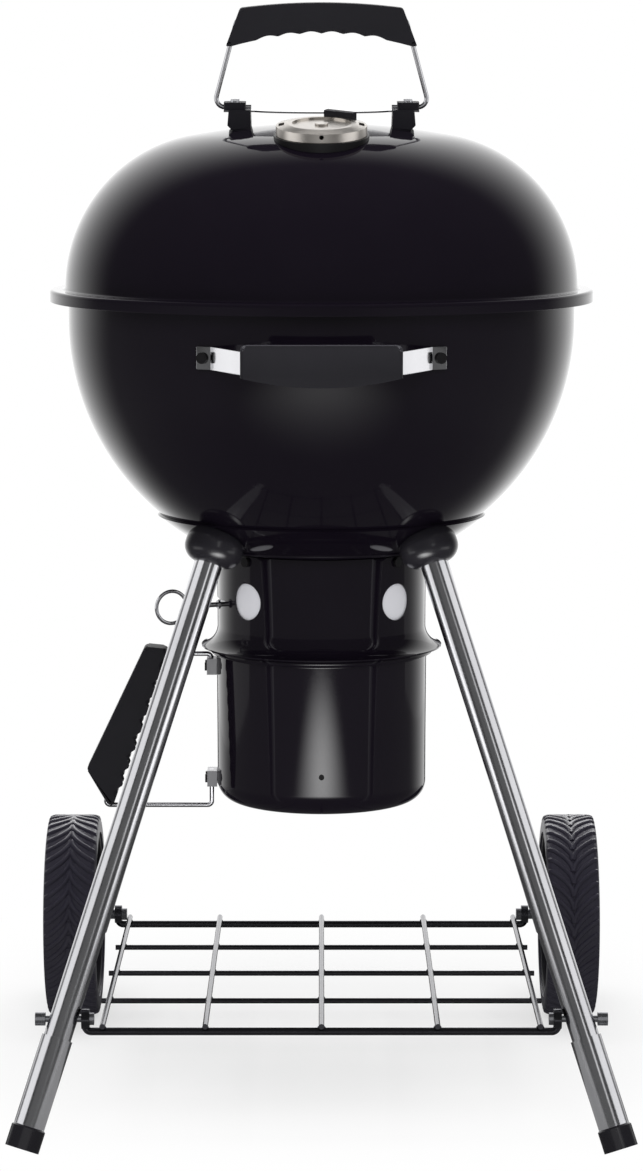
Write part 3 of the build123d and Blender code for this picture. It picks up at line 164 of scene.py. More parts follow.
def empty_tree(holder: Material | bpy.types.World | bpy.types.Light) -> Tree:
    """Turns on the nodes of a material, world or light and clears them.

    Args:
        holder: The material, world or light.

    Returns:
        Its empty tree.
    """
    holder.use_nodes = True
    holder.node_tree.nodes.clear()
    return holder.node_tree


def smooth_step(tree: Tree, value: Socket, start: float, end: float, low: float, high: float) -> Socket:
    """Adds a smooth step from one value to another.

    Args:
        tree: Shader tree that takes the node.
        value: Number that the step follows.
        start: Where the step starts.
        end: Where it ends.
        low: Value up to the start.
        high: Value from the end on.

    Returns:
        The stepped value.
    """
    return add_node(tree, "ShaderNodeMapRange", {
        "Value": value, "From Min": start, "From Max": end, "To Min": low, "To Max": high,
    }, interpolation_type="SMOOTHSTEP").outputs["Result"]


class Grain(Enum):
    """Ways in which the fine structure of a surface runs."""

    SPECKLE = "speckle"
    RINGS = "rings"


@dataclass(frozen=True)
class Finish:
    """Surface finish whose colour, gloss and relief vary at real sizes.

    Attributes:
        name: Name of the material.
        base: Main colour.
        tint: Second colour that drifts into the main one.
        smooth: Roughness where the grain is finest.
        rough: Roughness where the grain is coarsest.
        grain: Size of the fine structure along the finish's own three axes, in millimetres.
        relief: Height of the fine structure in millimetres.
        mottle: Size of the drifts of colour in millimetres.
        metallic: Share of bare metal.
        pattern: How the fine structure runs.
    """

    name: str
    base: str
    tint: str
    smooth: float
    rough: float
    grain: tuple[float, float, float]
    relief: float
    mottle: float = 45.0
    metallic: float = 0.0
    pattern: Grain = Grain.SPECKLE

    WAVE_UNIT = math.pi / 10
    NOISE_LOW = 0.3
    NOISE_HIGH = 0.7
    DRIFT_DETAIL = 3.0
    DRIFT_ROUGHNESS = 0.55
    RING_WOBBLE = 1.5
    FINE_DETAIL = 2.0
    FINE_ROUGHNESS = 0.5

    def material(self, axis: Vector = UP, centre: Vector = Vector(), label: str = "") -> Material:
        """Builds the finish as a node material.

        Args:
            axis: Direction of the grain's third axis.
            centre: Place that rings run about, in metres.
            label: Words added to the name where a finish is built more than once.

        Returns:
            The material.
        """
        material = bpy.data.materials.new(self.name + label)
        tree = empty_tree(material)
        place = add_node(tree, "ShaderNodeTexCoord").outputs["Object"]
        turn = UP.rotation_difference(axis).to_euler()
        fine = self._grain(tree, place, turn, centre)
        drift = add_node(tree, "ShaderNodeTexNoise", {
            "Vector": place, "Scale": 1 / (self.mottle * MM), "Detail": self.DRIFT_DETAIL,
            "Roughness": self.DRIFT_ROUGHNESS,
        }).outputs["Fac"]
        colour = add_node(tree, "ShaderNodeMix", {
            "Factor": drift, 6: linear(self.base), 7: linear(self.tint),
        }, data_type="RGBA").outputs[2]
        gloss = add_node(tree, "ShaderNodeMapRange", {
            "Value": fine, "From Min": self.NOISE_LOW, "From Max": self.NOISE_HIGH,
            "To Min": self.smooth, "To Max": self.rough,
        }).outputs["Result"]
        bump = add_node(tree, "ShaderNodeBump", {
            "Height": fine, "Strength": 1.0, "Distance": self.relief * MM,
        }).outputs["Normal"]
        shader = add_node(tree, "ShaderNodeBsdfPrincipled", {
            "Base Color": colour, "Roughness": gloss, "Normal": bump, "Metallic": self.metallic,
        })
        add_node(tree, "ShaderNodeOutputMaterial", {"Surface": shader.outputs["BSDF"]})
        return material

    def _grain(self, tree: Tree, place: Socket, turn: Euler, centre: Vector) -> Socket:
        """Adds the fine structure, laid along the finish's own axes.

        Args:
            tree: Shader tree that takes the nodes.
            place: Object coordinates.
            turn: Turn of the grain's axes.
            centre: Place that rings run about, in metres.

        Returns:
            A number from 0 to 1.
        """
        own = add_node(tree, "ShaderNodeMapping", {
            "Vector": place, "Location": centre, "Rotation": turn,
            "Scale": tuple(size * MM for size in self.grain),
        }, vector_type="TEXTURE").outputs["Vector"]
        if self.pattern is Grain.RINGS:
            return add_node(tree, "ShaderNodeTexWave", {
                "Vector": own, "Scale": self.WAVE_UNIT, "Distortion": self.RING_WOBBLE,
                "Detail": self.FINE_DETAIL,
            }, wave_type="RINGS", rings_direction="Z").outputs["Fac"]
        return add_node(tree, "ShaderNodeTexNoise", {
            "Vector": own, "Scale": 1.0, "Detail": self.FINE_DETAIL, "Roughness": self.FINE_ROUGHNESS,
        }).outputs["Fac"]


# Glass fused on steel: deep black with a breath of violet, mirror gloss over a slight orange peel
ENAMEL = Finish("gloss_porcelain_enamel", "#0f0b13", "#120e16", 0.05, 0.08, (2.2, 2.2, 2.2), 0.0012)
# Drawn and polished tube: clear lengthwise streaks with hair lines along the tube
TUBE = Finish("drawn_polished_tube", "#b9b9bd", "#d3d3d6", 0.13, 0.22, (0.5, 0.5, 60.0), 0.002, 70.0, 1.0)
# Bright plating on drawn wire: small sharp highlights with a faint haze
WIRE = Finish("bright_plated_wire", "#c2c2c6", "#dadadd", 0.10, 0.20, (0.7, 0.7, 0.7), 0.003, 30.0, 1.0)
# Shelf's wire: the handles' bright plating with painted shade darkening its colour, and a softer gloss
SHADED_SHELF_WIRE = Finish("shaded_plated_wire", "#5f5f64", "#6a6a6f", 0.16, 0.26, (0.7, 0.7, 0.7), 0.003, 30.0, 1.0)
# Spun cap steel: warm satin with fine turning marks about the middle
SPUN = Finish(
    "spun_satin_steel", "#cbc5be", "#dad5cf", 0.22, 0.34, (0.7, 0.7, 0.7), 0.004, 25.0, 1.0, Grain.RINGS
)
# Polished sheet: nearly a mirror, with a short brush along the sheet
SHEET = Finish("polished_sheet_steel", "#c9c9cc", "#dddde0", 0.08, 0.16, (0.4, 0.4, 25.0), 0.002, 50.0, 1.0)
# Satin sheet: pale grey metal without a clear image in it
SATIN = Finish("satin_sheet_steel", "#b4b4b7", "#c6c6c9", 0.30, 0.42, (0.6, 0.6, 12.0), 0.004, 35.0, 1.0)
# Aluminised sheet: a chalky pale grey, more matt than metallic
ALUMINISED = Finish("aluminised_sheet", "#e4e4ea", "#ececf1", 0.45, 0.60, (0.6, 0.6, 12.0), 0.004, 35.0, 0.1)
# Zinc plating: cool grey with a cloudy bloom
ZINC = Finish("zinc_plated_steel", "#a3a4a8", "#bcbdc2", 0.22, 0.36, (0.8, 0.8, 0.8), 0.004, 6.0, 1.0)
# Glass-filled moulding: matt black with a spark-eroded grain that only shows in the highlights
MOULDING = Finish("glass_filled_moulding", "#17161b", "#1d1c22", 0.46, 0.62, (0.55, 0.55, 0.55), 0.02)
# Polished moulding: black with soft round highlights
POLISHED = Finish("polished_moulding", "#17161a", "#1d1c20", 0.16, 0.26, (0.8, 0.8, 0.8), 0.004)
# Satin paint: dark and even, with soft wide highlights
PAINT = Finish("satin_black_paint", "#0f0e10", "#171618", 0.30, 0.40, (0.9, 0.9, 0.9), 0.006)
# Tyre rubber: dull blue-black with a dusty bloom
RUBBER = Finish("tyre_rubber", "#24222c", "#2e2c37", 0.36, 0.52, (0.8, 0.8, 0.8), 0.03, 18.0)


def dress(material: Material, *nodes: str) -> None:
    """Gives a material to CAD nodes that stay as they are.

    Args:
        material: The finish.
        nodes: Names of the CAD nodes.
    """
    for name in nodes:
        for slot in frame["nodes"][name].material_slots:
            slot.material = material


def add_piece(
    name: str, mesh: Mesh, body: str, material: Material, replaces: Iterable[str] = ()
) -> None:
    """Puts a mesh in the scene as a piece of the grill.

    Args:
        name: Name of the piece.
        mesh: Its mesh in the frame's metres.
        body: CAD body that it moves with.
        material: Its finish.
        replaces: CAD nodes that it stands for.
    """
    piece = bpy.data.objects.new(name, mesh)
    bpy.context.scene.collection.objects.link(piece)
    mesh.materials.clear()
    mesh.materials.append(material)
    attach(piece, body)
    if replaces:
        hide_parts(*replaces)
    log.info("%s has %d faces", name, len(mesh.polygons))


class Outline:
    """Outline drawn corner by corner in two coordinates, in millimetres."""

    def __init__(self) -> None:
        """Starts without corners."""
        self.corners: list[tuple[Vector, float]] = []

    def to(self, first: float, second: float, rounding: float = 0.0) -> "Outline":
        """Goes straight to a corner, which may be rounded."""
        self.corners.append((Vector((first, second)), rounding))
        return self

    def through(self, corners: Iterable[tuple[float, float]], rounding: float = 0.0) -> "Outline":
        """Goes straight from corner to corner.

        Args:
            corners: The corners.
            rounding: Rounding of each.

        Returns:
            This outline.
        """
        for first, second in corners:
            self.to(first, second, rounding)
        return self

    def run(self, first: float, second: float, steps: int) -> "Outline":
        """Goes straight to a point in several steps, so that cuts through the wall stay local.

        Args:
            first: First coordinate of the point.
            second: Second coordinate.
            steps: Number of steps.

        Returns:
            This outline.
        """
        start = self.corners[-1][0]
        end = Vector((first, second))
        for step in range(1, steps + 1):
            point = start.lerp(end, step / steps)
            self.to(point.x, point.y)
        return self

    def arc(
        self, centre: tuple[float, float], radius: float, start: float, end: float, steps: int = ARC_STEPS
    ) -> "Outline":
        """Goes along an arc.

        Args:
            centre: Middle of the arc.
            radius: Its radius.
            start: Angle of its start in degrees.
            end: Angle of its end.
            steps: Number of steps.

        Returns:
            This outline.
        """
        for step in range(steps + 1):
            angle = math.radians(start + (end - start) * step / steps)
            self.to(centre[0] + radius * math.cos(angle), centre[1] + radius * math.sin(angle))
        return self

    def points(self) -> list[Vector]:
        """Draws the closed outline with its rounded corners.

        Returns:
            Its points.
        """
        drawn = []
        count = len(self.corners)
        for index, (corner, rounding) in enumerate(self.corners):
            if not rounding:
                drawn.append(corner)
                continue
            before = self.corners[index - 1][0] - corner
            after = self.corners[(index + 1) % count][0] - corner
            reach = rounding / math.tan(before.angle(after) / 2)
            start = corner + before.normalized() * reach
            end = corner + after.normalized() * reach
            for step in range(ROUND_STEPS + 1):
                share = step / ROUND_STEPS
                drawn.append(start.lerp(corner, share).lerp(corner.lerp(end, share), share))
        return drawn

    def guarded(self) -> list[Vector]:
        """Draws the outline with one more point close to each end of a long side, so that it shades flat.

        Returns:
            Its points.
        """
        drawn = self.points()
        kept = []
        for point, following in zip(drawn, drawn[1:] + drawn[:1]):
            kept.append(point)
            side = following - point
            if side.length > LONG_SIDE:
                step = side.normalized() * GUARD
                kept.extend((point + step, following - step))
        return kept


def to_mesh(work: bmesh.types.BMesh, name: str, place: Matrix) -> Mesh:
    """Turns a work mesh into a smooth mesh with outward faces.

    Args:
        work: The work mesh, which is freed.
        name: Name of the mesh.
        place: Placing into the frame's metres.

    Returns:
        The mesh.
    """
    bmesh.ops.transform(work, matrix=place, verts=work.verts)
    bmesh.ops.recalc_face_normals(work, faces=work.faces)
    for face in work.faces:
        face.smooth = True
    mesh = bpy.data.meshes.new(name)
    work.to_mesh(mesh)
    work.free()
    mesh.set_sharp_from_angle(angle=SHARP_ANGLE)
    return mesh


def lathe(name: str, outline: Outline, place: Matrix) -> Mesh:
    """Turns a closed outline of radius and height about the local Z axis.

    Args:
        name: Name of the mesh.
        outline: Outline of radius and height.
        place: Placing into the frame's metres.

    Returns:
        The turned mesh.
    """
    work = bmesh.new()
    turns = [2 * math.pi * step / TURN_STEPS for step in range(TURN_STEPS)]
    rings = []
    for radius, height in outline.guarded():
        angles = turns if radius > POLE_RADIUS else turns[:1]
        rings.append([work.verts.new((radius * math.cos(a), radius * math.sin(a), height)) for a in angles])
    for ring, following in zip(rings, rings[1:] + rings[:1]):
        for step in range(TURN_STEPS):
            corners = []
            for row, spot in ((ring, step), (ring, step + 1), (following, step + 1), (following, step)):
                vertex = row[spot % len(row)]
                if vertex not in corners:
                    corners.append(vertex)
            if len(corners) > 2:
                work.faces.new(corners)
    return to_mesh(work, name, place)


def slab(name: str, outline: Outline, thickness: float, edge: float, place: Matrix) -> Mesh:
    """Thickens a flat outline of X and Z about the local Y axis and rounds its two rims.

    Args:
        name: Name of the mesh.
        outline: Outline of X and Z.
        thickness: Depth along Y.
        edge: Radius of the rims.
        place: Placing into the frame's metres.

    Returns:
        The thickened mesh.
    """
    work = bmesh.new()
    rows = []
    for depth in (-thickness / 2, thickness / 2):
        rows.append([work.verts.new((point.x, depth, point.y)) for point in outline.points()])
    rims = []
    for row in rows:
        face = work.faces.new(row)
        rims.extend(face.edges)
    near, far = rows
    for index in range(len(near)):
        work.faces.new((near[index - 1], near[index], far[index], far[index - 1]))
    bmesh.ops.bevel(
        work, geom=rims, offset=edge, segments=ROUND_STEPS, profile=ROUND_PROFILE, affect="EDGES",
        clamp_overlap=False,
    )
    return to_mesh(work, name, place)


def plate(name: str, outline: Outline, node: str, edge: float) -> Mesh:
    """Thickens an outline of X and Z to the depth of a CAD node.

    Args:
        name: Name of the mesh.
        outline: Outline in the frame, in millimetres.
        node: CAD node whose box gives the depth.
        edge: Radius of the rims.

    Returns:
        The thickened mesh.
    """
    low, high = box_mm(node)
    middle = Matrix.Translation((0, (low.y + high.y) / 2, 0))
    return slab(name, outline, high.y - low.y, edge, Matrix.Scale(MM, 4) @ middle)


def rod(name: str, radius: float, length: float, place: Matrix) -> Mesh:
    """Builds a round rod along the local Z axis.

    Args:
        name: Name of the mesh.
        radius: Radius of the rod.
        length: Its length, half of it on each side of the origin.
        place: Placing into the frame's metres.

    Returns:
        The rod's mesh.
    """
    work = bmesh.new()
    bmesh.ops.create_cone(
        work, cap_ends=True, segments=ROD_STEPS, radius1=radius, radius2=radius, depth=length
    )
    return to_mesh(work, name, place)


def skin(work: bmesh.types.BMesh, rows: Sequence[list[bmesh.types.BMVert]]) -> None:
    """Closes rows of vertices into a tube with two flat ends.

    Args:
        work: Work mesh that takes the faces.
        rows: Rows of vertices along the tube.
    """
    for row, following in zip(rows, rows[1:]):
        for index in range(len(row)):
            work.faces.new((row[index - 1], row[index], following[index], following[index - 1]))
    work.faces.new(rows[0])
    work.faces.new(rows[-1])


def plain_copy(holder: bpy.types.Object) -> Mesh:
    """Works out an object's modifiers and removes the object.

    Args:
        holder: Object with modifiers.

    Returns:
        The plain mesh.
    """
    graph = bpy.context.evaluated_depsgraph_get()
    mesh = bpy.data.meshes.new_from_object(holder.evaluated_get(graph))
    bpy.data.objects.remove(holder)
    return mesh


def temporary(mesh: Mesh) -> bpy.types.Object:
    """Adds an object that holds a mesh while modifiers work on it.

    Args:
        mesh: The mesh.

    Returns:
        The object.
    """
    holder = bpy.data.objects.new("work", mesh)
    bpy.context.scene.collection.objects.link(holder)
    return holder


def cut(mesh: Mesh, cutters: Sequence[Mesh]) -> Mesh:
    """Cuts closed meshes out of another.

    Args:
        mesh: Mesh that is cut.
        cutters: Meshes that are taken away.

    Returns:
        The cut mesh, smooth again.
    """
    holder = temporary(mesh)
    tools = [temporary(cutter) for cutter in cutters]
    for tool in tools:
        boolean = holder.modifiers.new("cut", "BOOLEAN")
        boolean.operation = "DIFFERENCE"
        boolean.solver = "EXACT"
        boolean.object = tool
    result = plain_copy(holder)
    for tool in tools:
        bpy.data.objects.remove(tool)
    result.set_sharp_from_angle(angle=SHARP_ANGLE)
    return result


def new_tree(name: str, sockets: dict[str, str]) -> Tree:
    """Makes a geometry tree with named inputs and one geometry output.

    Args:
        name: Name of the tree.
        sockets: Socket type of each input by its name.

    Returns:
        The empty tree.
    """
    tree = bpy.data.node_groups.new(name, "GeometryNodeTree")
    for label, kind in sockets.items():
        tree.interface.new_socket(label, in_out="INPUT", socket_type=kind)
    tree.interface.new_socket("Geometry", in_out="OUTPUT", socket_type="NodeSocketGeometry")
    return tree


def grow(mesh: Mesh, tree: Tree, values: dict[str, object]) -> Mesh:
    """Runs a geometry tree on a mesh and returns the result as a plain mesh.

    Args:
        mesh: Mesh that enters the tree.
        tree: The tree.
        values: Values of its named inputs.

    Returns:
        The grown mesh.
    """
    holder = temporary(mesh)
    modifier = holder.modifiers.new("grow", "NODES")
    modifier.node_group = tree
    for socket in tree.interface.items_tree:
        if socket.in_out == "INPUT" and socket.name in values:
            modifier[socket.identifier] = values[socket.name]
    return plain_copy(holder)


def ring_of_items() -> Tree:
    """Builds a geometry tree that repeats an object about the X axis and joins it to the entering mesh.

    Returns:
        The tree.
    """
    tree = new_tree("ring_of_items", {
        "Geometry": "NodeSocketGeometry", "Item": "NodeSocketObject", "Count": "NodeSocketInt",
        "Material": "NodeSocketMaterial",
    })
    given = add_node(tree, "NodeGroupInput").outputs
    item = add_node(tree, "GeometryNodeObjectInfo", {"Object": given["Item"]}).outputs["Geometry"]
    points = add_node(tree, "GeometryNodePoints", {"Count": given["Count"]}).outputs["Points"]
    copies = add_node(tree, "GeometryNodeInstanceOnPoints", {"Points": points, "Instance": item}).outputs[0]
    step = add_node(tree, "ShaderNodeMath", {
        0: 2 * math.pi, 1: given["Count"],
    }, operation="DIVIDE").outputs[0]
    index = add_node(tree, "GeometryNodeInputIndex").outputs[0]
    angle = add_node(tree, "ShaderNodeMath", {0: index, 1: step}, operation="MULTIPLY").outputs[0]
    turn = add_node(tree, "ShaderNodeCombineXYZ", {"X": angle}).outputs[0]
    turned = add_node(tree, "GeometryNodeRotateInstances", {
        "Instances": copies, "Rotation": turn, "Local Space": False,
    }).outputs[0]
    plain = add_node(tree, "GeometryNodeRealizeInstances", {"Geometry": turned}).outputs[0]
    joined = add_node(tree, "GeometryNodeJoinGeometry")
    tree.links.new(given["Geometry"], joined.inputs[0])
    tree.links.new(plain, joined.inputs[0])
    painted = add_node(tree, "GeometryNodeSetMaterial", {
        "Geometry": joined.outputs[0], "Material": given["Material"],
    }).outputs[0]
    add_node(tree, "NodeGroupOutput", {"Geometry": painted})
    return tree


def beads_on_points() -> Tree:
    """Builds a geometry tree that puts a weld bead of slightly varied size on each entering point.

    Returns:
        The tree.
    """
    tree = new_tree("beads_on_points", {
        "Geometry": "NodeSocketGeometry", "Radius": "NodeSocketFloat", "Seed": "NodeSocketInt",
        "Material": "NodeSocketMaterial",
    })
    given = add_node(tree, "NodeGroupInput").outputs
    bead = add_node(tree, "GeometryNodeMeshIcoSphere", {
        "Radius": given["Radius"], "Subdivisions": BEAD_DETAIL,
    }).outputs["Mesh"]
    soft = add_node(tree, "GeometryNodeSetShadeSmooth", {"Geometry": bead}).outputs[0]
    size = add_node(tree, "FunctionNodeRandomValue", {
        "Min": BEAD_LEAST, "Max": BEAD_MOST, "Seed": given["Seed"],
    }, data_type="FLOAT_VECTOR").outputs[0]
    copies = add_node(tree, "GeometryNodeInstanceOnPoints", {
        "Points": given["Geometry"], "Instance": soft, "Scale": size,
    }).outputs[0]
    plain = add_node(tree, "GeometryNodeRealizeInstances", {"Geometry": copies}).outputs[0]
    painted = add_node(tree, "GeometryNodeSetMaterial", {
        "Geometry": plain, "Material": given["Material"],
    }).outputs[0]
    add_node(tree, "NodeGroupOutput", {"Geometry": painted})
    return tree


@dataclass
class Grip:
    """Moulded lid grip: a low crown above, slanting ends and an arch with finger scallops below."""

    length: float
    thickness: float = 24.0
    crown: float = 13.8
    shoulder: float = 9.0
    shoulder_inset: float = 13.0
    corner: float = 3.0
    drop: float = 25.5
    tip: float = 5.0
    tip_rounding: float = 1.0
    waist: float = 14.0
    scallop_depth: float = 2.2
    scallops: int = 6
    scalloped_share: float = 0.72
    edge: float = 4.0

    def mesh(self, name: str, place: Matrix) -> Mesh:
        """Builds the grip about a wire on the local X axis.

        Args:
            name: Name of the mesh.
            place: Placing into the frame's metres.

        Returns:
            The mesh.
        """
        half = self.length / 2
        top = half - self.shoulder_inset
        outline = Outline()
        for step in range(ARC_STEPS + 1):
            x = top - 2 * top * step / ARC_STEPS
            rounding = self.corner if step in (0, ARC_STEPS) else 0.0
            outline.to(x, self.shoulder + (self.crown - self.shoulder) * (1 - (x / top) ** 2), rounding)
        outline.to(-half, -self.drop, self.tip_rounding)
        arch = half - self.tip
        for step in range(2 * ARC_STEPS + 1):
            share = step / ARC_STEPS - 1
            arched = self.waist + (self.drop - self.waist) * share**2
            outline.to(arch * share, self.scallop(share) - arched)
        outline.to(half, -self.drop, self.tip_rounding)
        return slab(name, outline, self.thickness, self.edge, place)

    def scallop(self, share: float) -> float:
        """Works out the finger scallops' height.

        Args:
            share: Share of the way from the arch's middle to its end.

        Returns:
            The height.
        """
        if abs(share) > self.scalloped_share:
            return 0.0
        turns = (share / self.scalloped_share + 1) * self.scallops / 2
        return self.scallop_depth * abs(math.sin(math.pi * turns))


@dataclass
class Kettle:
    """Bowl with its support ring, front handle, grate tabs and grates."""

    radius: float = 236.0
    wall: float = 1.5
    straight: float = 26.5
    lip: float = 11.0
    lip_thickness: float = 3.0
    lip_fullness: float = 2.1
    lip_fillet: float = 3.0
    neck_radius: float = 96.3
    grip_belly: float = 8.5
    grip_corner: float = 5.0
    grip_edge: float = 3.0
    strap_thickness: float = 3.0
    strap_corner: float = 66.0
    strap_bend: float = 2.4
    strap_edge: float = 0.6
    foot_angle: float = 26.0
    foot_reach: tuple[float, float] = (-9.0, 6.0)
    foot_gap: float = 0.2

    def build(self) -> None:
        """Adds the bowl, the front grip and its strap, and dresses what stays."""
        enamel = ENAMEL.material(label="_bowl")
        add_piece("bowl", self.bowl_mesh(), "stand", enamel, ["bowl_shell"])
        moulding = MOULDING.material(label="_front")
        add_piece("front_grip_plate", self.grip_mesh(), "stand", moulding, ["front_grip"])
        sheet = SHEET.material(Vector((1, 0, 0)), label="_strap")
        add_piece("strap", self.strap_mesh(), "stand", sheet, ["front_strap"])
        dress(enamel, "support_ring")
        dress(PAINT.material(label="_rivets"), "front_rivets")
        dress(ZINC.material(label="_front"), "front_screws")
        dress(SATIN.material(label="_tabs"), "cooking_grate_tabs", "charcoal_grate_tabs", "charcoal_grate")
        dress(WIRE.material(label="_grate"), "cooking_grate")

    def bowl_mesh(self) -> Mesh:
        """Builds the bowl with a rounded rim lip and a short neck.

        Returns:
            The mesh.
        """
        low, high = box_mm("bowl_shell")
        centre = (0, high.z - self.straight)
        inner = self.radius - self.wall
        neck_inner = self.neck_radius - self.wall
        start = -math.degrees(math.acos(self.neck_radius / self.radius))
        inner_start = -math.degrees(math.acos(neck_inner / inner))
        lip_radius = self.radius + self.lip
        lip_low = high.z - self.lip_thickness
        round_lip = self.lip_thickness / self.lip_fullness
        outline = Outline().to(self.neck_radius, low.z).arc(centre, self.radius, start, 0, 2 * ARC_STEPS)
        outline.to(self.radius, lip_low, self.lip_fillet)
        outline.to(lip_radius, lip_low, round_lip).to(lip_radius, high.z, round_lip)
        outline.to(inner, high.z, self.wall)
        outline.arc(centre, inner, 0, inner_start, 2 * ARC_STEPS).to(neck_inner, low.z)
        return lathe("bowl", outline, kettle_frame())

    def strap_route(self) -> list[Vector]:
        """Draws the strap's middle as seen from above, from the left foot to the right one.

        Returns:
            Its corners.
        """
        turn = math.radians(self.foot_angle)
        out = self.radius + self.foot_gap + self.strap_thickness / 2
        foot = Vector((math.sin(turn), -math.cos(turn))) * out
        along = Vector((math.cos(turn), math.sin(turn)))
        front = box_mm("front_strap")[0].y + self.strap_thickness / 2 - middle_mm("bowl_shell").y
        right = [Vector((self.strap_corner, front))] + [foot + along * reach for reach in self.foot_reach]
        return [Vector((-point.x, point.y)) for point in reversed(right)] + right

    def strap_mesh(self) -> Mesh:
        """Bends the strap from sheet, with slanting sides between the grip and the feet on the bowl.

        Returns:
            The mesh.
        """
        low, high = box_mm("front_strap")
        route = self.strap_route()
        outer, inner = [], []
        for index, point in enumerate(route):
            sides = []
            for start, end in ((index - 1, index), (index, index + 1)):
                if 0 <= start and end < len(route):
                    way = (route[end] - route[start]).normalized()
                    sides.append(Vector((way.y, -way.x)))
            # A mitre at each bend keeps the sheet's thickness
            lean = sum(sides, Vector((0, 0)))
            lean *= self.strap_thickness / (2 * lean.normalized().dot(sides[0]) * lean.length)
            bend = self.strap_bend if len(sides) > 1 else self.strap_edge
            outer.append((point + lean, bend))
            inner.append((point - lean, bend))
        outline = Outline()
        for point, bend in outer + inner[::-1]:
            outline.to(point.x, point.y, bend)
        place = Matrix.Translation((0, 0, (low.z + high.z) / 2)) @ Matrix.Rotation(-QUARTER_TURN, 4, "X")
        return slab("strap", outline, high.z - low.z, self.strap_edge, kettle_frame() @ place)

    def grip_mesh(self) -> Mesh:
        """Builds the front grip plate, straight above and bellied below, with a plain face.

        Returns:
            The mesh.
        """
        low, high = box_mm("front_grip")
        corner = low.z + self.grip_belly
        half = high.x
        outline = Outline().to(half, high.z, self.grip_corner).to(-half, high.z, self.grip_corner)
        for step in range(ARC_STEPS + 1):
            x = 2 * half * step / ARC_STEPS - half
            outline.to(x, corner - self.grip_belly * (1 - (x / half) ** 2))
        return plate("front_grip_plate", outline, "front_grip", self.grip_edge)


